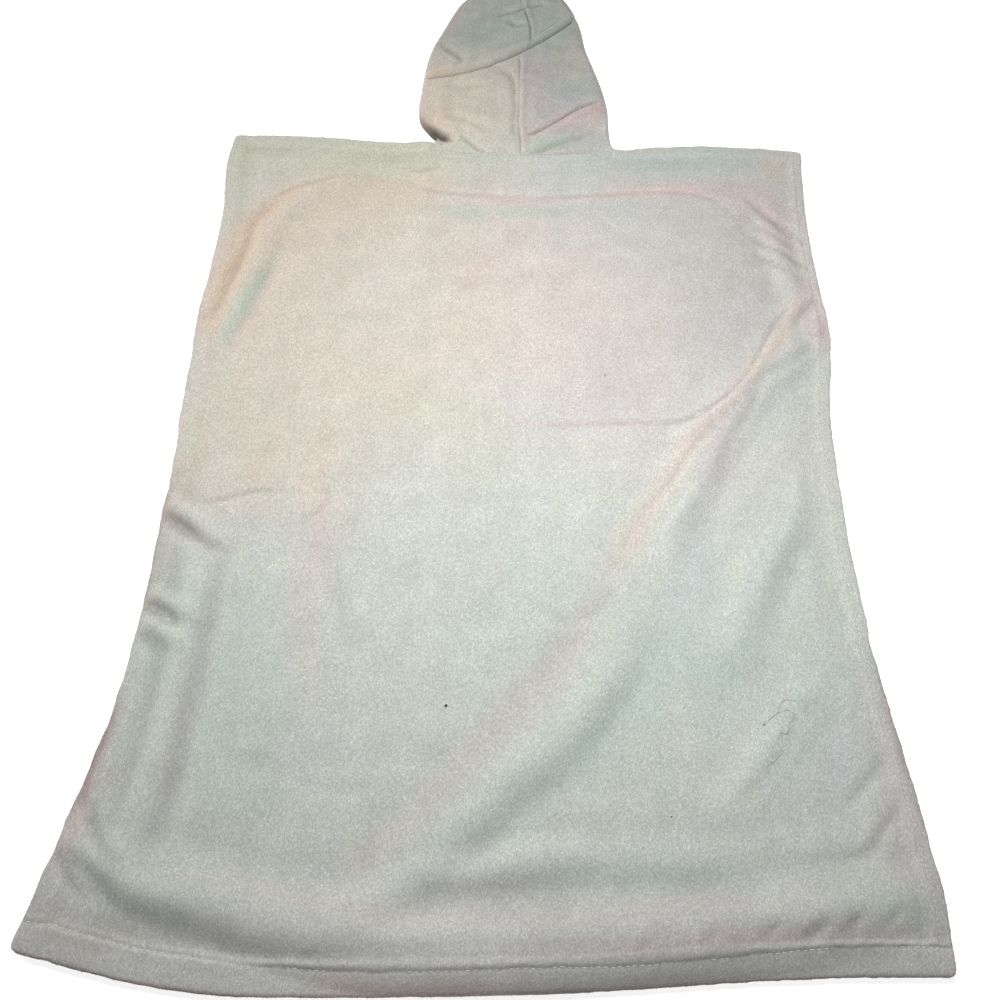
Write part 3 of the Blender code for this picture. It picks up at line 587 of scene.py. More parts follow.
def hemSwellHeight(x, along):
    # the back rises from its hem edge to a crest and sinks again behind it
    crest, reach, height, beyond, hard = (readTable(hemSwell, x, k) for k in range(1, 6))
    towards = np.clip((crest - along) / reach, 0.0, 1.0)
    soft = mound(towards)
    landing = soft + hard * (1 - towards ** 2 - soft)
    return np.maximum(height, 0.0) * np.where(along < crest, landing, mound((along - crest) / beyond))


def seamRelief(distance, at, seed, strength=1.0):
    # a stitched groove with the cloth swelling on its inner side, puckered unevenly along its length
    pull = 1 + 0.7 * wobble(at, 0.0, back["pullSize"], seed)
    pucker = back["puckerHeight"] * wobble(at, distance * 0.5, back["puckerSize"], seed + 1)
    pucker = pucker * bell(distance - back["puckerAway"], back["puckerWidth"])
    groove = -back["grooveDepth"] * pull * bell(distance, back["grooveWidth"])
    lip = back["lipHeight"] * pull * bell(distance - back["lipAway"], back["lipWidth"])
    return strength * (groove + lip + pucker)


def backRelief(x, along):
    fromHem, fromLeft, fromRight, fromTop = fromEdges(x, along)
    inside = np.minimum.reduce([fromHem, fromLeft, fromRight, fromTop])
    relief = foldHeight(x, along, backFolds) * ramp(inside, 0.0, back["foldFade"])
    relief += hemSwellHeight(x, along) * np.clip(fromHem / back["swellFade"], 0, 1)
    relief += creaseHeight(x, along, backCreases) * ramp(inside, 0.0, back["creaseFade"])
    for px, pAlong, runX, runAlong, depth, width in hemPuckers:
        ends = [(px + k * runX, pAlong + k * runAlong) for k in (-0.5, 0.0, 0.5)]
        path = [(*end, share) for end, share in zip(ends, (0.5, 1.0, 0.2))]
        relief += creaseHeight(x, along, [("pucker", depth, width, path)])
    relief += uneven(x, along, back["unevenness"]) * ramp(inside, back["unevenStart"], back["ease"])
    atArmhole = ramp(along, armholeBottom - back["armholeBlend"], armholeBottom)
    relief += seamRelief(fromHem - hemStitch(x), x, 52, 0.5 + 0.5 * ramp(x, *back["hemFade"]))
    relief += seamRelief(fromLeft - back["armholeStitch"], along, 54, back["leftStrength"]) * atArmhole
    relief += seamRelief(fromRight - back["armholeStitch"], along, 56, back["rightStrength"]) * atArmhole
    relief += seamRelief(fromRight - back["sideStitch"], along, 58, back["sideStrength"]) * (1 - atArmhole)
    fromCorner = np.minimum(x - neck["left"], neck["right"] - x)
    for distance, strength in back["neckRows"]:
        atNeck = inNeck(x) * ramp(fromCorner, 0.0, back["cornerFade"])
        relief += seamRelief(fromTop - distance, x, 60, strength) * atNeck
    return relief + back["bandPuff"] * np.sin(math.pi * np.clip(fromHem / hemStitch(x), 0, 1))


def layersBelow(x, along):
    # height at which the back's underside starts over the front panel, and the air above that
    inside = np.minimum.reduce(fromEdges(x, along))
    turned = turnedShare(x, along, back["turnExtra"], back["turnSoften"])
    nearNeck = ramp(x, neck["left"] - back["ease"], neck["left"] + cloth["edgeTurn"])
    nearNeck = nearNeck * (1 - ramp(x, neck["right"] - cloth["edgeTurn"], neck["right"] + back["ease"]))
    nearNeck = nearNeck * ramp(along, neck["zone"], neck["zone"] + back["ease"])
    over = np.maximum((cloth["turned"] - cloth["single"]) * turned, neck["lift"] * nearNeck)
    armholeLift = back["armholeLift"] * ramp(along, armholeBottom, armholeBottom + back["ease"])
    loft = back["loft"] * ramp(inside, cloth["edgeTurn"], back["loftRun"]) * (1 - nearNeck)
    return cloth["single"] + cloth["gap"] + over + armholeLift, loft


def backHeights(x, along, inset):
    turned = turnedShare(x, along, soften=back["wallSoften"])
    thickness = cloth["single"] + (cloth["turned"] - cloth["single"]) * turned
    floorOf, loft = layersBelow(x, along)
    relief = backRelief(x, along)
    profile = rimProfile(inset, thickness / 2)
    under = np.maximum(floorOf + loft + relief, floorOf)
    upper = np.maximum(floorOf + loft + relief + thickness, under + back["leastWall"] * thickness)
    middle = (under + upper) / 2
    return middle + (upper - middle) * profile, middle - (middle - under) * profile


nap = {  # loops that stand out of the pile, close together along the edges
    "density": 7000.0,
    "rimShare": 60.0,
    "rimWidth": 0.0040,
    "length": 0.0016,
    "width": 0.00048,
    "stand": 0.55,  # how far they stand up out of the cloth
    "lean": (0.0, -0.8, 0.0),  # towards the hem
    "spread": 1.1,
}
dipShadePaint = {  # painted shade: the cloth's colour is darkened where it dips below its surroundings
    "reach": 2.2,  # in rows of points
    "depth": 0.0011,  # dip that takes the full shade
    "shade": 0.16,
}


def blurred(field, reach):
    count = int(3 * reach)
    weights = np.exp(-((np.arange(-count, count + 1) / reach) ** 2) / 2)
    weights /= weights.sum()
    for axis in (0, 1):
        padded = np.pad(field, [(count, count) if k == axis else (0, 0) for k in (0, 1)], mode="edge")
        field = np.apply_along_axis(lambda line: np.convolve(line, weights, "valid"), axis, padded)
    return field


def paintedDipShade(height, inside):
    # painted shade, the darker the deeper a point lies below its blurred surroundings
    dip = blurred(height, dipShadePaint["reach"]) - height
    return 1 - dipShadePaint["shade"] * np.clip(dip / dipShadePaint["depth"], -0.4, 1.2) * inside


def makeBack(material):
    hemRows, sideColumns, shoulderRows = (back[name] for name in ("hemRows", "sideColumns", "shoulderRows"))
    start, end = leftSide(shoulder) + sideColumns[-1], rightSide(shoulder) - sideColumns[-1]
    topX = spaced(start, end, back["columnSteps"])
    grid = bodyGrid(hemRows, shoulderRows, back["rowSteps"], sideColumns, topX, topEdge)
    inset = np.minimum(grid[2], grid[3])
    upper, under = backHeights(*grid[:2], inset)
    x, along = roundCorners(*grid)
    piece = closedCloth("back_cloth", x, along, upper, under, material, cloth["undersideSkip"])
    # painted shade in the back's dips
    store(piece, "painted_shade", paintedDipShade(upper, ramp(inset, 0.002, 0.005)), 1.0)
    store(piece, "nap", 1 + nap["rimShare"] * (1 - ramp(inset, 0.0005, nap["rimWidth"])), 0.0)
    return piece


front = {
    "inset": 0.0008,  # it keeps this far inside the back's outline
    "edgeRows": [0.0, 0.0002, 0.0006, 0.0012, 0.0019, 0.0035, 0.006, 0.010, 0.0115],
    "hemRows": [0.020, 0.0215],
    "spacing": 0.010,
    "neckSpacing": 0.005,
}


def frontTop(at):
    return scoopEdge(at) - np.where(inNeck(at), 3 * cloth["gap"], 0.0)


def makeFront(material):
    edges, step = front["edgeRows"], front["spacing"]
    start, end = leftSide(shoulder) + 2 * step, rightSide(shoulder) - 2 * step
    left, right = neck["left"] - cloth["gap"], neck["right"] + cloth["gap"]
    overNeck = even(left, right, front["neckSpacing"])
    topX = [*even(start, left, step), left, *overNeck, right, *even(right, end, step)]
    rows = [*edges, *front["hemRows"]], edges, [(0.0, step), (1.0, step)]
    grid = bodyGrid(*rows, edges, topX, frontTop, front["inset"])
    thickness = cloth["single"] + (cloth["turned"] - cloth["single"]) * turnedShare(*grid[:2])
    profile = rimProfile(np.minimum(grid[2], grid[3]), thickness / 2)
    x, along = roundCorners(*grid)
    upper, under = thickness / 2 * (1 + profile), thickness / 2 * (1 - profile)
    return closedCloth("front_cloth", x, along, upper, under, material, 1)


hood = {
    "faceTurn": 0.016,
    "faceHalfGap": 0.012,
    "columns": 39,
    "faceColumns": 6,  # those on the turned face edge
    "faceLimit": 0.26,  # share of the half's width that they take up at most
    "seamApart": cloth["gap"] / 4,  # each half keeps this far off the centre seam
    "underCentre": 0.004,
    "forehead": 1.135,
    "foreheadRun": 0.030,
    "crown": 0.20,  # share of its height that the hood loses towards its side folds
    "ridgeWidth": 0.0086,
    "ridgeHeight": 0.0012,
    "ridgeUneven": [(0.5, 0.022, 77)],  # height, size across, seed
    "seamWander": [(0.0008, 0.040, 75)],
    "unevenness": [(0.0009, 0.060, 71), (0.0004, 0.024, 73)],
    "seamDip": 0.0010,  # the two halves sink into the centre seam
    "dipWidth": 0.0012,
    "pleatDepth": 0.009,
    "rollShade": 0.72,
    "rollTurn": 1.6,  # how fast the painted shade of the roll grows as the side fold turns
    "pleatRise": 0.0030,
    "pleatFall": 0.0028,
    "pleatFade": 0.96,  # share of the half's width from which the pleat opens
    "pleatEase": 0.75,
    # painted shade on the rows of the pleat under and behind its folded edge
    "pleatShade": 0.5,
    "litStages": 6,  # rows of the pleat that still face the light
    "shadeFade": (0.94, 0.985),
    "sideFade": 10,  # power by which folds and creases fade before the side fold
    "tipFade": 8,  # rows over which they fade before the tip
    "neckFade": 6,  # and after the neck seam
    "seamLeast": 0.3,  # of the seam's dip that is left where its ridge ends
    "pleatExit": [  # past the folded edge: advance, how far the crown has risen again, how light it is painted, darker as painted shade close to the edge
        (-0.0040, 0.0000, 0.40), (-0.0008, 0.0002, 0.40), (0.0003, 0.0012, 0.40), (0.0012, 0.0026, 0.42),
        (0.0022, 0.0040, 0.50), (0.0034, 0.0052, 0.66), (0.0050, 0.0058, 0.80), (0.0080, 0.0062, 0.90),
        (0.0115, 0.0062, 0.96), (0.0150, 0.0058, 1.00),
    ],
    "lowerPlaces": [0.0, 0.06, *np.linspace(0.15, 4.85, 88)],  # places between the rows of the tables below
    "upperPlaces": np.linspace(0.0, 4.0, 64),
    "nearSeam": [0.0, 0.0006, 0.0014, 0.0024, 0.0040, 0.0056, 0.0068, 0.0083],
    "stripSteps": 9,
    "turnStages": 9,  # rows of the pleat that belong to its first turn and run back
}
hoodLeftEdge = np.array([  # along, x
    (0.8825, -0.095), (0.8905, -0.0905), (0.9035, -0.099), (0.918, -0.109), (0.944, -0.114),
    (0.973, -0.113), (1.002, -0.112), (1.027, -0.11), (1.052, -0.106), (1.095, -0.093), (1.127, -0.083),
    (1.148, -0.075), (1.172, -0.058),
])
hoodRightEdge = np.array([
    (0.8835, 0.1175), (0.89, 0.1135), (0.902, 0.1105), (0.918, 0.1095), (0.944, 0.109), (0.968, 0.106),
    (0.996, 0.1), (1.026, 0.092), (1.056, 0.084), (1.1, 0.077), (1.132, 0.068), (1.152, 0.06),
    (1.178, 0.045),
])
# a row: along at the left outline, at the seam and at the right outline, the seam's x, slant there, height
lowerRows = np.array([
    (0.8825, 0.8715, 0.8835, 0.0085, 0, 0.0063), (0.8905, 0.888, 0.906, 0.0072, 0.05, 0.0095),
    (0.912, 0.919, 0.948, 0.0042, 0.22, 0.013), (0.94, 0.961, 1.005, 0.0042, 0.45, 0.015),
    (0.969, 1.004, 1.064, 0.0038, 0.66, 0.016), (0.992, 1.0385, 1.112, 0.0028, 0.8, 0.0165),
])
upperRows = np.array([
    (1.016, 1.07, 1.1335, 0.0155, 0.6, 0.0152), (1.06, 1.106, 1.1485, 0.0125, 0.42, 0.014),
    (1.11, 1.152, 1.16, 0.002, 0.2, 0.0124), (1.145, 1.188, 1.171, 0.001, 0.05, 0.0105),
    (1.172, 1.212, 1.178, 0.002, 0, 0.009),
])
hoodFolds = [
    ("right swell", 0.0022, 0.008, 0.016, [(0.018, 0.886, 0.5), (0.058, 0.914, 1), (0.098, 0.94, 1)]),
    ("right low swell", 0.0016, 0.009, 0.01, [(0.022, 0.866, 0.5), (0.064, 0.88, 1), (0.1, 0.896, 0.6)]),
    ("left roll", 0.0022, 0.02, 0.018, [(-0.08, 0.905, 1), (-0.094, 0.94, 1), (-0.095, 0.985, 0.5)]),
    ("left dome", 0.002, 0.04, 0.04, [(-0.05, 0.93, 1), (-0.045, 0.98, 0.8)]),
]
hoodCreases = [
    ("right step", -0.0056, 0.0026, [
        (0.02, 0.902, 0.5), (0.036, 0.914, 0.9), (0.056, 0.931, 1), (0.07, 0.943, 1), (0.086, 0.955, 0.9),
        (0.102, 0.965, 0.4),
    ]),
    ("right lip", 0.0036, 0.0045, [
        (0.024, 0.896, 0.5), (0.04, 0.908, 0.9), (0.058, 0.923, 1), (0.072, 0.935, 1), (0.088, 0.947, 0.9),
        (0.102, 0.956, 0.5),
    ]),
    ("right valley", -0.0038, 0.0048, [
        (0.016, 0.871, 0.6), (0.028, 0.878, 1), (0.044, 0.888, 1), (0.056, 0.893, 1), (0.08, 0.904, 0.7),
        (0.103, 0.918, 0.4),
    ]),
    ("left long", -0.0034, 0.0034, [
        (-0.098, 1.062, 0.5), (-0.087, 1.05, 1), (-0.077, 1.04, 1), (-0.062, 1.021, 0.4),
    ]),
    ("left low", -0.003, 0.0034, [(-0.06, 0.897, 0.4), (-0.047, 0.885, 1), (-0.031, 0.873, 0.5)]),
    ("left low two", -0.0014, 0.005, [(-0.075, 0.925, 0.3), (-0.05, 0.915, 1), (-0.028, 0.905, 0.4)]),
    ("dimple", -0.0032, 0.0038, [(-0.012, 1.103, 0.6), (-0.002, 1.097, 1), (0.008, 1.099, 0.6)]),
    ("crown tuck", -0.0036, 0.0028, [
        (-0.024, 1.118, 0.3), (-0.005, 1.126, 0.9), (0.003, 1.132, 1), (0.013, 1.137, 1),
        (0.028, 1.143, 0.5),
    ]),
    ("crown roll", 0.0022, 0.005, [
        (-0.022, 1.126, 0.3), (-0.005, 1.133, 0.9), (0.003, 1.139, 1), (0.013, 1.144, 1), (0.03, 1.15, 0.4),
    ]),
    ("crown dip", -0.0016, 0.012, [(-0.07, 1.09, 0.4), (-0.045, 1.11, 1), (-0.02, 1.125, 0.7)]),
    ("under pleat", -0.0012, 0.006, [(-0.098, 0.985, 0.3), (-0.06, 0.975, 0.8), (-0.02, 0.985, 0.4)]),
    ("neck tuck left", -0.0042, 0.0034, [
        (-0.101, 0.907, 0.6), (-0.094, 0.901, 1), (-0.086, 0.8955, 1), (-0.078, 0.893, 0.9),
        (-0.07, 0.89, 0.4),
    ]),
    ("neck lobe left", 0.0024, 0.0038, [(-0.084, 0.884, 0.5), (-0.074, 0.885, 1), (-0.064, 0.888, 0.8)]),
    ("beside seam", -0.0026, 0.0046, [
        (0, 0.905, 0.8), (0, 0.94, 1), (-0.001, 0.975, 1), (-0.006, 0.995, 0.8), (-0.016, 1.005, 0.4),
    ]),
]


def hoodEdgeX(side, along):
    return readTable(hoodLeftEdge if side < 0 else hoodRightEdge, along)


def hoodRow(table, position):
    knots = np.arange(len(table), dtype=float)
    return [float(smooth(knots, table[:, k], position)) for k in range(table.shape[1])]


def rowEnd(row, side):
    # along and x at which a row meets the half's outline, and the seam's x
    end = row[0] if side < 0 else row[2]
    return end, hoodEdgeX(side, end), row[3] + float(uneven(row[1], 0.0, hood["seamWander"]))


def rowCurve(row, side, share):
    # x, along and slope at a share of the way from the centre seam to the outline
    seam, slant = row[1], row[4]
    end, edgeX, seamX = rowEnd(row, side)
    reach = edgeX - seamX
    bend = (end - seam - slant * reach) / reach ** 2
    offset = share * reach
    return seamX + offset, seam + slant * offset + bend * offset ** 2, slant + 2 * bend * offset


def fillShares(near):
    # the columns that are near the middle, and even ones from there to the outline
    return np.array([*near, *np.linspace(near[-1], 1.0, hood["columns"] - len(near) + 1)[1:]])


def topShares(row, side):
    _, edgeX, seamX = rowEnd(row, side)
    near = [distance / abs(edgeX - seamX) for distance in hood["nearSeam"]]
    return fillShares(near)


def underShares(reach):
    nearFace = [0.0, 0.0006, 0.0020, 0.0060, 0.0110, hood["faceTurn"], hood["faceTurn"] + cloth["edgeStep"]]
    limits = np.linspace(0.0, hood["faceLimit"], len(nearFace))
    return fillShares([min(distance / abs(reach), limit) for distance, limit in zip(nearFace, limits)])


def pleatStages():
    # how far each row of the pleat lies past the folded edge, folded and open, how far below it, how light
    # it is painted
    upperTurn, lowerTurn = hood["pleatRise"] / 2, hood["pleatFall"] / 2
    crest = -upperTurn - cloth["single"] / 2
    stages = []
    for angle in np.linspace(0, math.pi, 8):
        stages.append((crest + upperTurn * math.sin(angle), upperTurn * (1 - math.cos(angle))))
    stages.append(((crest - hood["pleatDepth"]) / 2, hood["pleatRise"]))
    for angle in np.linspace(0, math.pi, 6):
        advance = -hood["pleatDepth"] - lowerTurn * math.sin(angle)
        stages.append((advance, hood["pleatRise"] + lowerTurn * (1 - math.cos(angle))))
    shades = [1.0 if k < hood["litStages"] else hood["pleatShade"] for k in range(len(stages))]
    for advance, climb, shade in hood["pleatExit"]:
        stages.append((advance, hood["pleatRise"] + hood["pleatFall"] - climb))
        shades.append(shade)
    opened = np.linspace(crest, stages[-1][0], len(stages))
    return [(folded, flat, drop, shade) for (folded, drop), flat, shade in zip(stages, opened, shades)]


def pleatShift(slope, advance, stage):
    norm = np.hypot(slope, 1.0)
    backX, backAlong = 2 * slope / norm, (slope ** 2 - 1) / norm
    backward = np.where(stage < hood["turnStages"], np.maximum(-advance, 0.0), hood["pleatDepth"])
    forward = advance + backward
    return backward * backX, backward * backAlong + forward * norm


def crowned(height, shares):
    return height * (1 - hood["crown"] * shares ** 2)


def hoodTop(side):
    # the upper layer's rows, from the neck over the pleat to the tip: x, along, height, ridge, painted
    # lightness
    rows = []
    for position in hood["lowerPlaces"]:
        row = hoodRow(lowerRows, position)
        shares = topShares(row, side)
        x, along, _ = rowCurve(row, side, shares)
        plain = rowCurve(lowerRows[0], side, shares)
        along = along + (1 - ramp(position, 0.0, 1.5)) * (topEdge(plain[0]) + cloth["gap"] - plain[1])
        height = lowerRows[0][5] if position < 0.1 else row[5]
        rows.append((x, along, crowned(height, shares), 1 - ramp(position, 4.6, 5.0), 1.0))
    pleat = lowerRows[-1]
    end, edgeX, _ = rowEnd(pleat, side)
    shares = topShares(pleat, side)
    opening = ramp(shares, hood["pleatFade"], 1.0)
    toSide = shares ** 4
    for stage, (folded, flat, drop, shade) in enumerate(pleatStages()):
        advance = flat + (1 - opening) * (folded - flat)
        x, along, slope = rowCurve(pleat, side, shares)
        edgeRun = hoodEdgeX(side, end + advance) - edgeX
        shiftX, shiftAlong = pleatShift(slope, advance, stage)
        x = x + (1 - toSide) * shiftX + toSide * edgeRun
        along = along + (1 - toSide) * shiftAlong + toSide * advance
        drop = drop * (1 - hood["pleatEase"] * opening)
        rows.append((x, along, crowned(pleat[5], shares) - drop, 0.0, shade))
    for position in hood["upperPlaces"]:
        row = hoodRow(upperRows, position)
        shares = topShares(row, side)
        x, along, _ = rowCurve(row, side, shares)
        ridge = ramp(position, 0.0, 0.5) * (1 - ramp(position, 3.0, 4.0))
        rows.append((x, along, crowned(row[5], shares), ridge, 1.0))
    return [np.array([row[k] for row in rows]) for k in range(5)]


def outward(x, along, side):
    runX, runY = np.gradient(x), np.gradient(along)
    length = np.hypot(runX, runY)
    return side * runY / length, -side * runX / length


def pullIn(offX, offAlong, normalX, normalY, radius):
    # how far a point moves in from the outline: a whole radius on it, ever less further away
    inside = np.maximum(-(offX * normalX + offAlong * normalY), 0.0)
    pull = np.hypot(inside, radius) - inside
    return pull * normalX, pull * normalY


def hoodRim(x, along, height, side):
    # the outline of a half, up its side and over its tip: row, column, outward turn and the fold's radius
    rows, columns = x.shape
    i = np.array([*range(rows), *[rows - 1] * (columns - 1)])
    j = np.array([*[columns - 1] * rows, *range(columns - 2, -1, -1)])
    normalX, normalY = outward(x[i, j], along[i, j], side)
    normalX[0], normalY[0] = side, 0.0
    normalX[-1], normalY[-1] = 0.0, 1.0
    return i, j, normalX, normalY, height[i, j] / 2


def insideRim(x, along, rim):
    # the upper layer ends a fold's radius inside the outline
    i, j, normalX, normalY, radius = rim
    rows, columns = x.shape
    tip = rows - 1 + (columns - 1 - np.arange(columns))
    atSide = [value[:rows, None] for value in rim[2:]]
    atTip = [value[tip][None] for value in rim[2:]]
    sideX, sideAlong = pullIn(x - x[:, -1:], along - along[:, -1:], *atSide)
    tipX, tipAlong = pullIn(x - x[-1:], along - along[-1:], *atTip)
    sideWeight, tipWeight = np.hypot(sideX, sideAlong) ** 4, np.hypot(tipX, tipAlong) ** 4
    total = sideWeight + tipWeight
    insideX = x - (sideX * sideWeight + tipX * tipWeight) / total
    insideAlong = along - (sideAlong * sideWeight + tipAlong * tipWeight) / total
    insideX[i, j] = x[i, j] - radius * normalX
    insideAlong[i, j] = along[i, j] - radius * normalY
    insideX[:, 0] = x[:, 0]
    return insideX, insideAlong


def hoodRelief(x, along, fade, ridge, side):
    # folds and creases of the upper layer, fading before the side folds, and the ridge of its seam
    lift = foldHeight(x, along, hoodFolds) + creaseHeight(x, along, hoodCreases)
    lift += uneven(x, along, hood["unevenness"])
    fromSeam = np.abs(x - x[:, :1])
    overRidge = mound(fromSeam / hood["ridgeWidth"] * 1.5 - 0.5)  # level for a third of its width
    ridgeLift = hood["ridgeHeight"] * ridge * overRidge * (1.0 if side > 0 else 0.0)
    ridgeLift = ridgeLift * (1 + uneven(along, 0.0, hood["ridgeUneven"]))
    dip = hood["seamDip"] * bell(fromSeam, hood["dipWidth"])
    away = ramp(np.arange(len(x)), 0, hood["neckFade"])[:, None]  # nothing lifts at the neck seam itself
    return lift * fade * away + (ridgeLift - dip) * np.maximum(ridge, hood["seamLeast"]) * away


def addPoint(shell, x, along, z, doubled=0.0):
    # a new point of the shell; its number is given back
    shell["points"].append((float(x), float(along) - halfLength, float(z)))
    shell["doubled"].append(float(doubled))
    return len(shell["points"]) - 1


def layTop(shell, x, along, z):
    numbers = np.zeros(x.shape, int)
    for i, j in np.ndindex(x.shape):
        numbers[i, j] = addPoint(shell, x[i, j], along[i, j], z[i, j])
    return numbers


def layUnder(shell, x, along, climb, side):
    # flat on the floor from the face hem outwards; its last column is laid with the side fold
    rows, columns = x.shape
    start = float(scoopEdge(np.float64(hood["underCentre"] + side * hood["faceHalfGap"])))
    innerAlong = start + climb * (along[-1, 0] - start)
    openShare = 1 - ramp(innerAlong, hood["forehead"], hood["forehead"] + hood["foreheadRun"])
    innerX = hood["underCentre"] + side * (cloth["gap"] / 2 + hood["faceHalfGap"] * openShare)
    numbers = np.zeros(x.shape, int)
    for i in range(rows):
        runX, runAlong = x[i, -1] - innerX[i], along[i, -1] - innerAlong[i]
        shares = underShares(runX)
        for j in range(columns - 1):
            px, pAlong = innerX[i] + shares[j] * runX, innerAlong[i] + shares[j] * runAlong
            if i == rows - 1:  # the tip, where both layers meet
                px, pAlong = x[i, j] + side * hood["seamApart"], along[i, j]
            if i == 0:
                pAlong = float(scoopEdge(np.float64(px)))
            doubled = float(openShare[i]) if j < hood["faceColumns"] else 0.0
            thickness = cloth["single"] + doubled * (cloth["turned"] - cloth["single"])
            numbers[i, j] = addPoint(shell, px, pAlong, thickness / 2, doubled)
    return numbers


def layFold(shell, x, along, rim, top, under, apart):
    # the side fold goes half round, from the upper layer to the under one
    halfCloth, steps = cloth["single"] / 2, hood["stripSteps"]
    numbers = np.zeros((len(rim[0]), steps + 1), int)
    for k, (i, j, normalX, normalY, radius) in enumerate(zip(*rim)):
        numbers[k, 0] = top[i, j]
        for step in range(1, steps):
            angle = math.pi * step / steps
            reach, rise = (radius - halfCloth) * math.sin(angle), (radius - halfCloth) * math.cos(angle)
            px, pAlong = x[i, j] + normalX * reach + apart, along[i, j] + normalY * reach
            numbers[k, step] = addPoint(shell, px, pAlong, radius + rise)
        if k < len(x):
            pAlong = float(scoopEdge(x[i, j])) if k == 0 else along[i, j]
            under[i, j] = addPoint(shell, x[i, j] + apart, pAlong, halfCloth)
        numbers[k, steps] = under[i, j]
    return numbers


def paintHoodShade(piece, topShade, rollTurn, fold):
    # painted shade: the top's dips and the pleat's crevice, then the roll by the neck
    shade = np.ones(len(piece.data.vertices))
    shade[:topShade.size] = topShade.ravel()
    facing = np.clip(rollTurn * hood["rollTurn"], 0.0, 1.0)  # painted shade on the roll by the neck, the more as it turns to face -y
    for step in range(1, hood["stripSteps"] + 1):
        shade[fold[:len(facing), step]] *= 1 - hood["rollShade"] * facing * min(1.0, step / 4)
    store(piece, "painted_shade", shade, 1.0)


def raiseHoodNap(piece, topPoints, fold):
    loose = np.zeros(len(piece.data.vertices))
    loose[:topPoints] = 1.0
    loose[fold[:, 1:4].ravel()] = nap["rimShare"] / 3
    store(piece, "nap", loose, 0.0)


def makeHoodHalf(name, side, material):
    x, along, height, ridge, pleatShade = hoodTop(side)
    rows, columns = x.shape
    rim = hoodRim(x, along, height, side)
    climb = (along[:, -1] - along[0, -1]) / (along[-1, -1] - along[0, -1])
    x, along = insideRim(x, along, rim)
    columnShare = np.arange(columns) / (columns - 1)
    tipFade = np.minimum(1.0, (rows - 1 - np.arange(rows)) / hood["tipFade"])
    fade = (1 - columnShare ** hood["sideFade"])[None, :] * tipFade[:, None]
    topZ = height - cloth["single"] / 2 + hoodRelief(x, along, fade, ridge[:, None], side)
    shell = {"points": [], "doubled": []}
    apart = side * hood["seamApart"]
    top = layTop(shell, x + apart, along, topZ)
    under = layUnder(shell, x, along, climb, side)
    fold = layFold(shell, x, along, rim, top, under, apart)
    layers = (top, side < 0), (under, side > 0), (fold, side < 0)
    faces = np.concatenate([gridFaces(numbers, flip) for numbers, flip in layers])
    piece = newMesh(name, shell["points"], faces.tolist(), material)
    # painted shade behind the pleat, fading where the pleat opens at the outline
    underPleat = (1 - pleatShade[:, None]) * (1 - ramp(columnShare, *hood["shadeFade"]))
    paintHoodShade(piece, paintedDipShade(topZ, fade) * (1 - underPleat), -rim[3][:rows], fold)
    raiseHoodNap(piece, topZ.size, fold)
    return thicken(piece, shell["doubled"])


def thicken(piece, doubling):
    # single cloth, doubled along the turned face edge
    group = piece.vertex_groups.new(name="turned")
    for index, weight in enumerate(doubling):
        group.add([index], weight, "REPLACE")
    wall = piece.modifiers.new("terry", "SOLIDIFY")
    wall.thickness = cloth["turned"]
    wall.offset = 0.0
    wall.vertex_group = "turned"
    wall.thickness_vertex_group = cloth["single"] / cloth["turned"]
    return bakeModifiers(piece)


def bakeModifiers(piece):
    # the evaluated shape becomes a plain mesh and the modifiers go
    graph = bpy.context.evaluated_depsgraph_get()
    mesh = bpy.data.meshes.new_from_object(piece.evaluated_get(graph))
    mesh.name = piece.name
    old = piece.data
    piece.modifiers.clear()
    piece.data = mesh
    bpy.data.meshes.remove(old)
    return piece


def wire(tree, kind, inputs, **settings):
    # a node with its settings, each input a value or another node's output
    node = tree.nodes.new(kind)
    for name, value in settings.items():
        setattr(node, name, value)
    for name, value in inputs.items():
        if isinstance(value, bpy.types.NodeSocket):
            tree.links.new(value, node.inputs[name])
        else:
            node.inputs[name].default_value = value
    return node


def onVector(tree, operation, inputs):
    return wire(tree, "ShaderNodeVectorMath", inputs, operation=operation).outputs[0]


def newGroup(name, **inputs):
    tree = bpy.data.node_groups.new(name, "GeometryNodeTree")
    tree.interface.new_socket("Geometry", in_out="INPUT", socket_type="NodeSocketGeometry")
    for label, kind in inputs.items():
        tree.interface.new_socket(label, in_out="INPUT", socket_type="NodeSocket" + kind)
    tree.interface.new_socket("Geometry", in_out="OUTPUT", socket_type="NodeSocketGeometry")
    return tree, tree.nodes.new("NodeGroupInput").outputs


def crookedTurn(tree, direction, spread, seed, axis):
    # a rotation that follows the direction, each one thrown off it a little
    limits = {"Min": (-1, -1, -1), "Max": (1, 1, 1), "Seed": seed}
    throw = wire(tree, "FunctionNodeRandomValue", limits, data_type="FLOAT_VECTOR")
    offset = onVector(tree, "SCALE", {0: throw.outputs[0], "Scale": spread})
    toward = onVector(tree, "ADD", {0: direction, 1: offset})
    turn = wire(tree, "FunctionNodeAlignRotationToVector", {"Vector": toward}, axis=axis)
    return turn.outputs[0]


def scatter(tree, points, shape, turn, size):
    scale = wire(tree, "ShaderNodeCombineXYZ", dict(zip("XYZ", size)))
    return wire(tree, "GeometryNodeInstanceOnPoints", {
        "Points": points, "Instance": shape.outputs[0], "Rotation": turn, "Scale": scale.outputs[0],
    })


def finishGroup(tree, instances, material):
    real = wire(tree, "GeometryNodeRealizeInstances", {"Geometry": instances.outputs[0]})
    rounded = wire(tree, "GeometryNodeSetShadeSmooth", {"Geometry": real.outputs[0]})
    coated = wire(tree, "GeometryNodeSetMaterial", {"Geometry": rounded.outputs[0], "Material": material})
    wire(tree, "NodeGroupOutput", {0: coated.outputs[0]})
    return tree


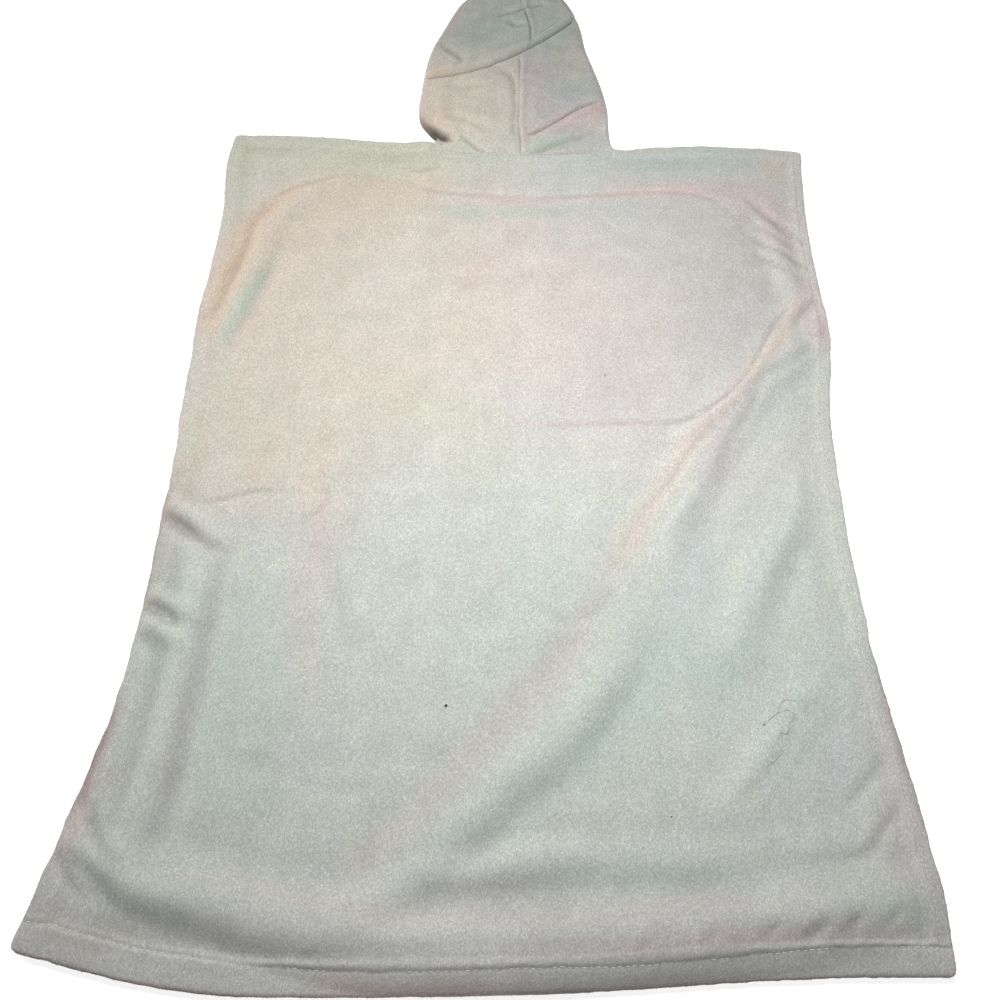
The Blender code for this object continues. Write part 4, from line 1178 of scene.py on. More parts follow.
def makeStitchNodes():
    tree, given = newGroup(
        "stitch_row", Pitch="Float", Length="Float", Thread="Float", Crookedness="Float",
        Seed="Int", Material="Material",
    )
    line = wire(tree, "GeometryNodeMeshToCurve", {"Mesh": given["Geometry"]}).outputs[0]
    pitch = {"Curve": line, "Length": given["Pitch"]}
    places = wire(tree, "GeometryNodeResampleCurve", pitch, mode="LENGTH")
    along = tree.nodes.new("GeometryNodeInputTangent").outputs[0]
    turn = crookedTurn(tree, along, given["Crookedness"], given["Seed"], "X")
    stitch = wire(tree, "GeometryNodeMeshUVSphere", {"Segments": 6, "Rings": 4, "Radius": 0.5})
    size = given["Length"], given["Thread"], given["Thread"]
    return finishGroup(tree, scatter(tree, places.outputs[0], stitch, turn, size), given["Material"])


def makeNapNodes():
    tree, given = newGroup(
        "standing_loops", Density="Float", Length="Float", Width="Float", Stand="Float", Spread="Float",
        Seed="Int", Material="Material",
    )
    share = wire(tree, "GeometryNodeInputNamedAttribute", {"Name": "nap"}, data_type="FLOAT").outputs[0]
    density = wire(tree, "ShaderNodeMath", {0: share, 1: given["Density"]}, operation="MULTIPLY").outputs[0]
    places = wire(tree, "GeometryNodeDistributePointsOnFaces", {
        "Mesh": given["Geometry"], "Density": density, "Seed": given["Seed"],
    }).outputs
    standing = onVector(tree, "SCALE", {0: places["Normal"], "Scale": given["Stand"]})
    combed = onVector(tree, "ADD", {0: standing, 1: nap["lean"]})
    turn = crookedTurn(tree, combed, given["Spread"], given["Seed"], "Z")
    loop = wire(tree, "GeometryNodeMeshUVSphere", {"Segments": 4, "Rings": 2, "Radius": 0.5})
    size = given["Width"], given["Width"], given["Length"]
    return finishGroup(tree, scatter(tree, places["Points"], loop, turn, size), given["Material"])


def makeStrandNodes():
    tree, given = newGroup("loose_strand", Radius="Float", Material="Material")
    line = wire(tree, "GeometryNodeMeshToCurve", {"Mesh": given["Geometry"]}).outputs[0]
    circle = {"Resolution": 6, "Radius": given["Radius"]}
    ring = wire(tree, "GeometryNodeCurvePrimitiveCircle", circle).outputs[0]
    tube = wire(tree, "GeometryNodeCurveToMesh", {"Curve": line, "Profile Curve": ring, "Fill Caps": True})
    return finishGroup(tree, tube, given["Material"])


def applyNodes(piece, tree, values):
    made = piece.modifiers.new(tree.name, "NODES")
    made.node_group = tree
    for item in tree.interface.items_tree:
        if item.in_out == "INPUT" and item.name in values:
            made[item.identifier] = values[item.name]
    return bakeModifiers(piece)


def lineMesh(name, lines):
    points, edges = [], []
    for line in lines:
        first = len(points)
        points.extend(tuple(float(v) for v in point) for point in line)
        edges.extend((first + k, first + k + 1) for k in range(len(line) - 1))
    mesh = bpy.data.meshes.new(name)
    mesh.from_pydata(points, edges, [])
    return addObject(name, mesh)


def onBack(x, along, above):
    # points on the upper side of the back, clear of its rim
    x, along = np.asarray(x, float), np.asarray(along, float)
    return toPoints(x, along, backHeights(x, along, np.full(x.shape, cloth["edgeRows"][-1]))[0] + above)


stitching = {
    "sunk": 0.0001,
    "sunkMore": 0.0006,  # where the pile closes over the thread
    "crookedness": 0.16,
    "hem": (0.0052, 0.0042, 0.00095),  # pitch, length and thread
    "seams": (0.0042, 0.0031, 0.00062),
    "hemEnds": (-0.334, 0.332),
    "sideStart": 0.040,
    "fromArmhole": 0.004,
    "fromShoulder": 0.006,
    "neckEnds": [(0.004, 0.003), (0.002, 0.082)],  # distance from the left and right corner of the neck
}


def hemRow():
    x = np.linspace(*stitching["hemEnds"], 220)
    hidden = ramp(wobble(x, 0.0, 0.050, 88), 0.0, 0.5)
    return [onBack(x, hemEdge(x) + hemStitch(x), -stitching["sunk"] - stitching["sunkMore"] * hidden)]


def seamRows():
    rows = []
    sunk, away = -stitching["sunk"], stitching["fromArmhole"]
    for sideOf, x, inward in ((leftSide, -0.31, 1), (rightSide, 0.31, -1)):
        up = np.linspace(armholeBottom + away, topEdge(np.float64(x)) - stitching["fromShoulder"], 90)
        rows.append(onBack(sideOf(up) + inward * back["armholeStitch"], up, sunk))
    up = np.linspace(stitching["sideStart"], armholeBottom - away, 190)
    rows.append(onBack(rightSide(up) - back["sideStitch"], up, sunk))
    for (fromLeft, fromRight), (below, _) in zip(stitching["neckEnds"], back["neckRows"]):
        x = np.linspace(neck["left"] + fromLeft, neck["right"] - fromRight, 80)
        rows.append(onBack(x, topEdge(x) - below, sunk))
    return rows


def makeStitches(name, rows, size, seed, tree, material):
    pitch, length, thread = size
    return applyNodes(lineMesh(name, rows), tree, {
        "Pitch": pitch, "Length": length, "Thread": thread, "Crookedness": stitching["crookedness"],
        "Seed": seed, "Material": material,
    })


def makeNap(piece, name, tree, seed, material):
    values = {label: nap[label.lower()] for label in ("Density", "Length", "Width", "Stand", "Spread")}
    values.update({"Seed": seed, "Material": material})
    return applyNodes(addObject(name, piece.data.copy()), tree, values)


looseThread = {
    "radius": 0.00010,
    "above": 0.0004,
    "paths": [
        [(0.221, 0.211), (0.226, 0.216), (0.232, 0.221), (0.236, 0.229), (0.241, 0.233), (0.250, 0.232)],
        [(0.232, 0.221), (0.241, 0.224), (0.247, 0.220), (0.244, 0.216), (0.241, 0.212), (0.241, 0.207),
         (0.237, 0.204), (0.234, 0.205), (0.231, 0.199)],
        [(0.233, 0.188), (0.229, 0.184), (0.224, 0.180), (0.219, 0.177)],
    ],
    "speckRadius": 0.00055,
    "fibreApart": 0.0005,
    "fibreLength": 0.0006,
    "fibreEnds": (-0.0004, 0.0001),  # across
    "specks": [(-0.0374, 0.2179, 3), (0.143, 0.136, 1), (0.099, 0.560, 1), (0.2208, 0.2110, 1)],
}


def makeLooseThread(tree, material):
    lines = []
    for path in looseThread["paths"]:
        fine, (x, along) = smoothPath(path)
        lines.append(onBack(x, along, looseThread["above"] * (1 + np.sin(fine * 2.2) ** 2)))
    values = {"Radius": looseThread["radius"], "Material": material}
    return applyNodes(lineMesh("loose_thread", lines), tree, values)


def makeSpecks(tree, material):
    lines = []
    radius, apart, length = (looseThread[name] for name in ("speckRadius", "fibreApart", "fibreLength"))
    for x, along, fibres in looseThread["specks"]:  # a bigger speck is a few fibres side by side
        for k in range(fibres):
            ends = [x + end + apart * k for end in looseThread["fibreEnds"]]
            lines.append(onBack(ends, [along, along + length * fibres], radius * 0.6))
    return applyNodes(lineMesh("lint", lines), tree, {"Radius": radius, "Material": material})


tones = {  # display colours, 0 to 255
    "cream": (214, 212, 205),
    "peach": (220, 204, 187),
    "apricot": (225, 199, 173),
    "blush": (217, 202, 196),
    "rose": (214, 188, 185),
    "olive": (207, 210, 186),
    "mint": (200, 212, 203),
    "sage": (190, 206, 188),
    "teal": (186, 206, 198),
    "aqua": (186, 203, 204),
    "lilac": (199, 198, 206),
    "mauve": (196, 186, 190),
    "grey": (199, 200, 199),
    "taupe": (190, 178, 168),
    "beige": (217, 206, 192),
    # a grey tone, also laid as painted shade at the upper right and along the hem band
    "slateAndShade": (182, 181, 179),
    "fern": (174, 186, 172),
    # painted shadow and painted shade of creases, seams and edges, laid as strokes like the dye tones
    "paintedShadow": (40, 32, 27),
    "paintedCreaseShade": (112, 100, 90),
    "paintedEdgeShade": (140, 116, 118),
}
dyeAndShade = {
    "edges": [(0.016, 0.110, 81), (0.006, 0.037, 83), (0.002, 0.013, 85)],  # height, size across, seed
    "fullWander": 0.060,  # strokes from this width on wander by all of that
    "uneven": (0.15, 0.030, 90),  # share by which a stroke is patchy, size of the patches, seed
    "clouds": [(0.018, 0.075, 61), (0.014, 0.028, 63)],
}
groundDyeAndShade = [  # broad fields: tone, width, strength, path of (x, y, share)
    ("peach", 0.11, 0.6, [(-0.25, -0.12, 0.8), (-0.23, 0.05, 1), (-0.17, 0.13, 1), (-0.08, 0.14, 0.8)]),
    ("peach", 0.09, 0.5, [(-0.13, -0.06, 1), (-0.04, 0, 1), (0.03, 0.06, 0.7)]),
    ("blush", 0.08, 0.45, [(0.04, 0.12, 0.9), (0.07, 0.02, 1), (0.1, -0.03, 1)]),
    ("blush", 0.1, 0.45, [(0.14, -0.02, 0.9), (0.18, 0.06, 1), (0.24, 0.13, 1)]),
    ("grey", 0.08, 0.45, [(0.12, 0.14, 0.9), (0.2, 0.1, 0.8), (0.23, 0.02, 1), (0.18, -0.04, 0.8)]),
    ("mint", 0.075, 0.65, [(-0.27, -0.29, 0.9), (-0.23, -0.36, 1), (-0.2, -0.43, 1), (-0.22, -0.49, 0.7)]),
    ("mint", 0.13, 0.6, [(-0.16, -0.34, 0.9), (-0.04, -0.34, 0.8), (0.1, -0.35, 1), (0.24, -0.34, 1)]),
    ("mint", 0.09, 0.32, [(-0.06, -0.17, 0.9), (0.06, -0.2, 1), (0.22, -0.18, 0.8), (0.28, -0.1, 0.8)]),
    ("mint", 0.06, 0.5, [(-0.12, -0.48, 1), (0.02, -0.47, 1), (0.16, -0.45, 1), (0.26, -0.46, 0.6)]),
    ("grey", 0.07, 0.6, [(-0.3, -0.56, 1), (-0.1, -0.575, 1), (0.15, -0.56, 1), (0.3, -0.55, 1)]),
    ("apricot", 0.045, 0.35, [(-0.28, 0.02, 0.8), (-0.26, 0.1, 1), (-0.21, 0.17, 0.9), (-0.13, 0.19, 0.6)]),
    ("teal", 0.05, 0.35, [(0.04, -0.26, 0.7), (0.07, -0.3, 1), (0.1, -0.33, 0.8)]),
    ("mint", 0.06, 0.45, [(-0.03, -0.32, 0.8), (0, -0.37, 1)]),
    # grey tone that is also painted shade here, at the upper right and along the hem band
    ("slateAndShade", 0.12, 0.56, [(0.17, 0.24, 0.7), (0.25, 0.2, 1), (0.26, 0.1, 1)]),
    ("slateAndShade", 0.07, 0.35, [(0.23, 0, 0.8), (0.28, -0.06, 1), (0.28, -0.16, 0.6)]),
    ("slateAndShade", 0.03, 0.55, [(0, -0.56, 0.5), (0.08, -0.555, 1), (0.18, -0.545, 1), (0.28, -0.54, 0.6)]),
    ("slateAndShade", 0.022, 0.5, [(0.05, -0.585, 0.6), (0.15, -0.58, 1), (0.25, -0.572, 1), (0.33, -0.565, 0.6)]),
    ("olive", 0.05, 0.65, [(-0.31, 0.26, 0.8), (-0.2, 0.262, 1), (-0.11, 0.25, 0.9), (-0.04, 0.25, 0.4)]),
    ("teal", 0.048, 0.55, [(0.04, 0.25, 0.5), (0.14, 0.26, 1), (0.22, 0.265, 1), (0.27, 0.255, 0.6)]),
]
dyeAndShadeStrokes = [
    ("apricot", 0.016, 0.8, [(-0.302, 0, 0.6), (-0.292, 0.07, 1), (-0.278, 0.14, 1), (-0.248, 0.196, 0.8)]),
    ("apricot", 0.016, 0.45, [(-0.22, 0.21, 1), (-0.15, 0.215, 1), (-0.09, 0.208, 0.8)]),
    ("peach", 0.02, 0.55, [(-0.2, 0.18, 1), (-0.14, 0.185, 1), (-0.08, 0.198, 0.6)]),
    ("blush", 0.007, 0.95, [
        (-0.1, 0.205, 0.7), (-0.04, 0.196, 1), (0.01, 0.193, 0.9), (0.08, 0.198, 1), (0.14, 0.21, 1),
        (0.2, 0.218, 0.9),
    ]),
    ("rose", 0.02, 0.55, [
        (0.12, 0.216, 0.5), (0.2, 0.218, 0.9), (0.25, 0.213, 1), (0.278, 0.19, 0.9), (0.29, 0.15, 0.5),
    ]),
    ("olive", 0.035, 0.5, [(-0.31, 0.25, 1), (-0.309, 0.2, 0.9), (-0.308, 0.15, 0.5)]),
    ("sage", 0.011, 0.6, [
        (-0.288, -0.012, 0.7), (-0.276, 0.028, 1), (-0.262, 0.068, 1), (-0.25, 0.105, 0.5),
    ]),
    ("teal", 0.007, 0.5, [(-0.284, -0.002, 0.7), (-0.272, 0.034, 1), (-0.26, 0.07, 0.6)]),
    ("olive", 0.02, 0.6, [(-0.2, 0.252, 0.7), (-0.15, 0.258, 1), (-0.105, 0.25, 0.6)]),
    ("sage", 0.012, 0.7, [(-0.05, 0.262, 0.7), (-0.03, 0.266, 1), (-0.01, 0.262, 0.5)]),
    ("sage", 0.009, 0.75, [
        (-0.07, 0.178, 0.6), (-0.045, 0.172, 1), (-0.02, 0.176, 0.3), (0, 0.172, 1), (0.04, 0.176, 0.8),
        (0.065, 0.184, 0.5),
    ]),
    ("aqua", 0.018, 0.18, [(0.09, 0.19, 0.7), (0.125, 0.18, 1), (0.12, 0.155, 0.7)]),
    ("rose", 0.016, 0.3, [(-0.05, 0.06, 0.8), (-0.03, 0.1, 1), (-0.005, 0.13, 0.8), (0.03, 0.16, 0.6)]),
    ("olive", 0.016, 0.55, [
        (-0.276, -0.065, 1), (-0.262, -0.09, 1), (-0.24, -0.12, 0.8), (-0.236, -0.16, 0.6),
    ]),
    ("olive", 0.014, 0.5, [(-0.296, -0.1, 0.7), (-0.29, -0.14, 1), (-0.278, -0.17, 0.5)]),
    ("peach", 0.012, 0.45, [(-0.293, -0.17, 0.8), (-0.288, -0.19, 1), (-0.27, -0.205, 0.6)]),
    ("olive", 0.026, 0.4, [(-0.1, -0.092, 0.9), (-0.03, -0.1, 1), (-0.02, -0.15, 0.7)]),
    ("rose", 0.006, 0.35, [
        (0.01, -0.104, 0.7), (0.05, -0.106, 1), (0.1, -0.105, 0.9), (0.14, -0.104, 0.5),
    ]),
    ("lilac", 0.03, 0.4, [(0.02, -0.085, 0.7), (0.06, -0.095, 1), (0.12, -0.08, 0.7)]),
    ("peach", 0.02, 0.55, [(-0.17, -0.13, 0.9), (-0.175, -0.17, 1), (-0.16, -0.205, 0.8)]),
    ("peach", 0.02, 0.4, [(-0.215, -0.13, 0.8), (-0.225, -0.17, 1), (-0.24, -0.195, 0.5)]),
    ("mauve", 0.024, 0.35, [(0.08, 0, 0.8), (0.11, -0.025, 1), (0.1, -0.05, 0.6)]),
    ("apricot", 0.009, 0.4, [
        (0.303, 0.055, 0.7), (0.285, 0.02, 1), (0.262, -0.012, 1), (0.238, -0.048, 0.9), (0.204, -0.092, 1),
        (0.18, -0.125, 1), (0.158, -0.162, 0.9), (0.132, -0.205, 0.8), (0.108, -0.25, 0.5),
    ]),
    ("blush", 0.011, 0.48, [
        (0.29, 0.045, 0.6), (0.25, -0.022, 0.8), (0.196, -0.096, 1), (0.15, -0.172, 0.9),
        (0.112, -0.235, 0.6),
    ]),
    ("blush", 0.014, 0.5, [
        (0.12, -0.225, 0.5), (0.088, -0.285, 0.6), (0.07, -0.32, 1), (0.04, -0.368, 1), (0, -0.418, 0.8),
        (-0.045, -0.468, 1), (-0.095, -0.512, 0.6),
    ]),
    ("mauve", 0.018, 0.3, [
        (0.1, -0.26, 0.6), (0.062, -0.33, 1), (0.01, -0.405, 0.8), (-0.04, -0.462, 0.9),
    ]),
    ("mauve", 0.014, 0.55, [
        (0.234, -0.062, 0.7), (0.212, -0.1, 1), (0.2, -0.135, 1), (0.196, -0.165, 0.6),
    ]),
    ("lilac", 0.02, 0.45, [(0.206, -0.15, 0.7), (0.186, -0.2, 1), (0.176, -0.24, 1), (0.165, -0.28, 0.6)]),
    ("aqua", 0.022, 0.45, [(0.178, -0.245, 0.7), (0.17, -0.285, 1), (0.15, -0.33, 0.7)]),
    ("teal", 0.024, 0.55, [
        (0.19, -0.35, 0.6), (0.15, -0.345, 1), (0.115, -0.375, 1), (0.085, -0.405, 0.8),
    ]),
    ("teal", 0.024, 0.5, [
        (0.08, -0.42, 0.8), (0.055, -0.435, 1), (0.025, -0.455, 0.8), (-0.03, -0.5, 0.4),
    ]),
    ("aqua", 0.022, 0.52, [
        (0.258, -0.215, 0.5), (0.244, -0.255, 1), (0.23, -0.3, 1), (0.205, -0.345, 0.9),
        (0.185, -0.38, 0.5),
    ]),
    ("aqua", 0.024, 0.42, [(0.278, -0.35, 0.7), (0.256, -0.375, 1), (0.238, -0.415, 0.8)]),
    ("lilac", 0.022, 0.5, [
        (0.292, -0.385, 0.6), (0.276, -0.42, 1), (0.262, -0.455, 0.8), (0.24, -0.48, 0.4),
    ]),
    ("mauve", 0.016, 0.5, [(0.318, -0.32, 0.7), (0.322, -0.4, 1), (0.33, -0.48, 1), (0.336, -0.54, 0.7)]),
    ("teal", 0.03, 0.3, [(0.245, -0.095, 0.6), (0.265, -0.06, 1), (0.3, -0.03, 0.8)]),
    ("teal", 0.035, 0.28, [(0.29, -0.2, 0.8), (0.285, -0.27, 1), (0.3, -0.33, 0.5)]),
    ("rose", 0.011, 0.6, [(0.316, 0.085, 0.6), (0.313, 0.045, 1), (0.32, 0.005, 1)]),
    ("mauve", 0.01, 0.48, [
        (-0.243, -0.28, 0.4), (-0.245, -0.33, 1), (-0.247, -0.42, 1), (-0.252, -0.5, 0.6),
    ]),
    ("blush", 0.016, 0.5, [
        (-0.16, -0.21, 0.8), (-0.162, -0.28, 1), (-0.155, -0.35, 0.8), (-0.145, -0.39, 0.4),
    ]),
    ("grey", 0.02, 0.45, [(-0.17, -0.43, 0.8), (-0.14, -0.42, 1), (-0.1, -0.43, 0.5)]),
    ("rose", 0.006, 0.7, [(-0.308, -0.4, 0.7), (-0.314, -0.45, 1), (-0.318, -0.49, 0.8)]),
    # painted shade along the crease at the left wedge, in a taupe tone
    ("taupe", 0.009, 0.55, [(-0.3, -0.22, 0.8), (-0.275, -0.235, 1), (-0.255, -0.245, 0.5)]),
    ("sage", 0.03, 0.4, [(-0.28, -0.5, 0.8), (-0.24, -0.525, 1), (-0.19, -0.515, 0.5)]),
    ("sage", 0.03, 0.3, [(-0.215, -0.3, 0.8), (-0.205, -0.4, 1), (-0.2, -0.47, 0.8)]),
    ("sage", 0.02, 0.35, [(-0.285, -0.28, 0.8), (-0.282, -0.36, 1), (-0.288, -0.44, 0.8)]),
    ("peach", 0.014, 0.6, [(0.3, 0.278, 0.8), (0.296, 0.255, 1), (0.288, 0.235, 0.6)]),
    ("blush", 0.01, 0.6, [(0.122, 0.268, 0.7), (0.15, 0.276, 1), (0.175, 0.282, 0.6)]),
    ("blush", 0.007, 0.35, [
        (-0.24, -0.528, 0.5), (-0.16, -0.534, 1), (-0.08, -0.548, 0.8), (0.02, -0.548, 0.6),
        (0.12, -0.535, 0.7), (0.22, -0.528, 0.4),
    ]),
    ("teal", 0.012, 0.55, [(0.06, -0.515, 0.6), (0.14, -0.512, 1), (0.2, -0.515, 0.5)]),
    ("sage", 0.014, 0.6, [(0.27, -0.515, 0.7), (0.3, -0.525, 1), (0.325, -0.53, 0.7)]),
    ("rose", 0.006, 0.3, [(0.02, -0.572, 0.5), (0.12, -0.562, 1), (0.22, -0.552, 1), (0.31, -0.545, 0.6)]),
    # painted shade along the left edge
    ("paintedEdgeShade", 0.0045, 0.5, [
        (-0.303, -0.19, 0.5), (-0.306, -0.23, 1), (-0.305, -0.28, 1), (-0.305, -0.315, 0.6),
    ]),
    ("paintedEdgeShade", 0.006, 0.6, [
        (-0.308, -0.385, 0.4), (-0.312, -0.42, 1), (-0.318, -0.45, 1), (-0.323, -0.48, 0.4),
    ]),
    ("taupe", 0.016, 0.45, [(-0.298, -0.18, 0.7), (-0.296, -0.26, 1), (-0.297, -0.32, 0.7)]),
    ("taupe", 0.012, 0.35, [(-0.33, -0.556, 0.8), (-0.316, -0.562, 1), (-0.3, -0.575, 0.4)]),
    ("taupe", 0.014, 0.35, [(-0.284, -0.574, 0.8), (-0.268, -0.568, 1), (-0.25, -0.562, 0.5)]),
    ("rose", 0.01, 0.35, [(-0.318, -0.49, 0.6), (-0.322, -0.502, 1), (-0.328, -0.515, 0.4)]),
    # painted shade along the right edge and along the hem's edge
    ("paintedEdgeShade", 0.0035, 0.35, [(0.319, -0.33, 0.6), (0.327, -0.4, 1), (0.338, -0.47, 0.7)]),
    ("paintedEdgeShade", 0.0024, 0.7, [
        (-0.34, -0.583, 0.6), (-0.305, -0.59, 0.8), (-0.243, -0.601, 1), (-0.185, -0.606, 1),
        (-0.127, -0.605, 0.7), (-0.027, -0.601, 0.8), (0.087, -0.594, 1), (0.159, -0.587, 1),
        (0.231, -0.581, 1), (0.303, -0.577, 0.9), (0.342, -0.576, 0.8),
    ]),
    ("rose", 0.01, 0.6, [(-0.11, -0.6, 0.7), (-0.04, -0.6, 1), (0.03, -0.596, 0.5)]),
]
hoodDyeAndShade = [
    ("beige", 0.09, 0.95, [(-0.06, 0.31, 1), (-0.05, 0.38, 1)]),
    ("slateAndShade", 0.06, 0.92, [(0.05, 0.3, 1), (0.06, 0.36, 1), (0.05, 0.43, 1), (0.07, 0.47, 0.7)]),
    ("olive", 0.035, 0.3, [(-0.05, 0.37, 1), (-0.03, 0.33, 1), (-0.01, 0.3, 0.8)]),
    ("peach", 0.02, 0.5, [(-0.1, 0.31, 1), (-0.108, 0.35, 0.8), (-0.1, 0.395, 1)]),
    ("apricot", 0.02, 0.45, [(-0.1, 0.3, 0.9), (-0.092, 0.312, 1), (-0.098, 0.335, 0.6)]),
    ("apricot", 0.016, 0.45, [(-0.11, 0.385, 0.8), (-0.094, 0.394, 1), (-0.06, 0.398, 0.5)]),
    ("sage", 0.016, 0.45, [(-0.072, 0.27, 0.8), (-0.05, 0.275, 1), (-0.03, 0.278, 0.5)]),
    ("blush", 0.01, 0.65, [(-0.045, 0.4, 0.7), (-0.02, 0.41, 0.9), (0, 0.428, 1), (0.012, 0.436, 0.9)]),
    ("blush", 0.014, 0.55, [(-0.085, 0.43, 0.9), (-0.07, 0.445, 1), (-0.09, 0.465, 0.5)]),
    ("mauve", 0.018, 0.9, [(0.018, 0.425, 0.8), (0.028, 0.4, 1), (0.026, 0.37, 0.9), (0.03, 0.34, 0.8)]),
    ("lilac", 0.014, 0.5, [(0.042, 0.372, 0.7), (0.05, 0.355, 1), (0.066, 0.35, 0.6)]),
    ("slateAndShade", 0.02, 0.8, [(0.06, 0.372, 0.8), (0.08, 0.378, 1), (0.104, 0.374, 0.9)]),
    ("sage", 0.012, 0.5, [(0.05, 0.376, 0.8), (0.072, 0.382, 1), (0.104, 0.378, 0.9)]),
    ("rose", 0.011, 0.85, [
        (0.014, 0.289, 0.6), (0.03, 0.299, 0.8), (0.055, 0.316, 0.9), (0.08, 0.331, 1), (0.106, 0.343, 1),
    ]),
    ("blush", 0.014, 0.6, [(0.07, 0.318, 0.6), (0.09, 0.322, 1), (0.106, 0.312, 0.7)]),
    ("sage", 0.011, 0.7, [(0.02, 0.277, 0.8), (0.045, 0.287, 1), (0.07, 0.293, 0.6)]),
    ("aqua", 0.012, 0.35, [(0.085, 0.29, 0.7), (0.102, 0.285, 1)]),
    ("blush", 0.022, 0.6, [(0.094, 0.415, 0.6), (0.08, 0.44, 1), (0.08, 0.47, 0.8)]),
    ("olive", 0.024, 0.45, [(0.056, 0.43, 0.8), (0.066, 0.408, 1)]),
    ("fern", 0.055, 0.8, [(-0.06, 0.47, 0.9), (-0.02, 0.495, 1), (0.02, 0.48, 0.8), (0.035, 0.52, 0.8)]),
    ("fern", 0.022, 0.65, [(-0.075, 0.45, 0.5), (-0.055, 0.462, 1), (-0.03, 0.482, 0.8)]),
    ("sage", 0.03, 0.6, [(0.02, 0.465, 0.8), (0.048, 0.49, 0.9)]),
    ("fern", 0.05, 0.6, [(-0.03, 0.56, 1), (0, 0.59, 1)]),
    ("rose", 0.012, 0.75, [(-0.1, 0.47, 0.5), (-0.088, 0.5, 1), (-0.076, 0.535, 1)]),
    ("apricot", 0.008, 0.5, [(0.08, 0.485, 1), (0.072, 0.52, 1)]),
    # painted shade in the hood's seams and creases and at its outline
    ("paintedCreaseShade", 0.0014, 0.26, [
        (0.0075, 0.268, 0.3), (0.0062, 0.284, 1), (0.0036, 0.31, 0.4), (0.0036, 0.33, 1),
        (0.0036, 0.35, 0.5), (0.0036, 0.37, 0.2), (0.0032, 0.39, 1), (0.002, 0.425, 0.7),
    ]),
    ("paintedCreaseShade", 0.0013, 0.62, [
        (0.0067, 0.519, 0.9), (0.0115, 0.502, 1), (0.0146, 0.485, 1), (0.0152, 0.469, 1),
        (0.015, 0.452, 0.8),
    ]),
    ("paintedCreaseShade", 0.0013, 0.45, [
        (-0.026, 0.51, 0.2), (-0.005, 0.518, 0.9), (0.0033, 0.524, 1), (0.0133, 0.53, 1),
        (0.028, 0.536, 0.5),
    ]),
    ("paintedCreaseShade", 0.002, 0.22, [
        (-0.097, 0.456, 0.8), (-0.087, 0.444, 1), (-0.076, 0.433, 0.9), (-0.063, 0.416, 0.3),
    ]),
    ("paintedCreaseShade", 0.0016, 0.42, [
        (0.02, 0.297, 0.4), (0.0367, 0.309, 0.9), (0.0567, 0.326, 1), (0.07, 0.338, 1), (0.0867, 0.35, 0.8),
        (0.102, 0.36, 0.3),
    ]),
    ("paintedCreaseShade", 0.0022, 0.6, [(0.1115, 0.296, 0.7), (0.11, 0.302, 1), (0.1095, 0.308, 0.7)]),
    # painted shadow in the notch where the hood's left roll meets the shoulder
    ("paintedShadow", 0.0044, 0.99, [
        (-0.101, 0.3015, 0.4), (-0.093, 0.2945, 1), (-0.087, 0.289, 1), (-0.08, 0.286, 1),
        (-0.075, 0.285, 0.3),
    ]),
    # painted shade under the hood's left roll by the neck
    ("paintedCreaseShade", 0.005, 0.75, [
        (-0.114, 0.325, 0.2), (-0.106, 0.311, 0.7), (-0.099, 0.302, 1), (-0.09, 0.294, 1),
        (-0.078, 0.288, 0.7),
    ]),
]


def linear(tone):
    c = np.array(tone) / 255
    return np.where(c <= 0.04045, c / 12.92, ((c + 0.055) / 1.055) ** 2.4)


def layDyeAndShade(colour, x, y, strokes):
    # the dyeing was uneven, so each stroke's edge wanders; the strokes of painted shade and shadow wander
    # the same way
    awayX = uneven(x, y, dyeAndShade["edges"])
    awayY = uneven(x, y, [(height, size, seed + 1) for height, size, seed in dyeAndShade["edges"]])
    height, size, seed = dyeAndShade["uneven"]
    for number, (tone, width, strength, path) in enumerate(strokes):
        warp = min(1.0, width / dyeAndShade["fullWander"])
        away, _, share = alongPath(x + awayX * warp, y + awayY * warp, path, 2.2 * width)
        patchy = 1 - height + height * wobble(x, y, size, seed + number)
        cover = np.clip(strength * share * bell(away, width) * patchy, 0.0, 1.0)[:, None]
        colour = colour * (1 - cover) + linear(tones[tone]) * cover
    return colour


def paintDyeAndShade(piece, coats, turned=1):
    mesh = piece.data
    co = np.zeros(len(mesh.vertices) * 3)
    mesh.vertices.foreach_get("co", co)
    x, y = turned * co[0::3], co[1::3]
    colour = np.tile(linear(tones["cream"]), (len(x), 1))
    for strokes in coats:
        colour = layDyeAndShade(colour, x, y, strokes)
    light = 1 + uneven(x, y, dyeAndShade["clouds"])
    # the painted shade of the dips, the pleat and the roll by the neck darkens the colour
    if "painted_shade" in mesh.attributes:
        paintedShade = np.ones(len(x))
        mesh.attributes["painted_shade"].data.foreach_get("value", paintedShade)
        light = light * paintedShade
    colour = np.clip(colour * light[:, None], 0, 1)
    layer = mesh.color_attributes.new("dyeAndShade", "FLOAT_COLOR", "POINT")
    layer.data.foreach_set("color", np.concatenate([colour, np.ones((len(x), 1))], axis=1).ravel())


def newMaterial(name):
    material = bpy.data.materials.new(name)
    material.use_nodes = True
    return material, material.node_tree, material.node_tree.nodes["Principled BSDF"]


def objectPlace(tree):
    return tree.nodes.new("ShaderNodeTexCoord").outputs["Object"]


def calc(tree, operation, first, second):
    return wire(tree, "ShaderNodeMath", {0: first, 1: second}, operation=operation).outputs[0]


def stretched(tree, place, share):
    return wire(tree, "ShaderNodeMapping", {"Vector": place, "Scale": (1.0, share, 1.0)}).outputs[0]


def noise(tree, place, size, detail, roughness=0.5):
    inputs = {"Vector": place, "Scale": 1 / size, "Detail": detail, "Roughness": roughness}
    return wire(tree, "ShaderNodeTexNoise", inputs).outputs["Fac"]


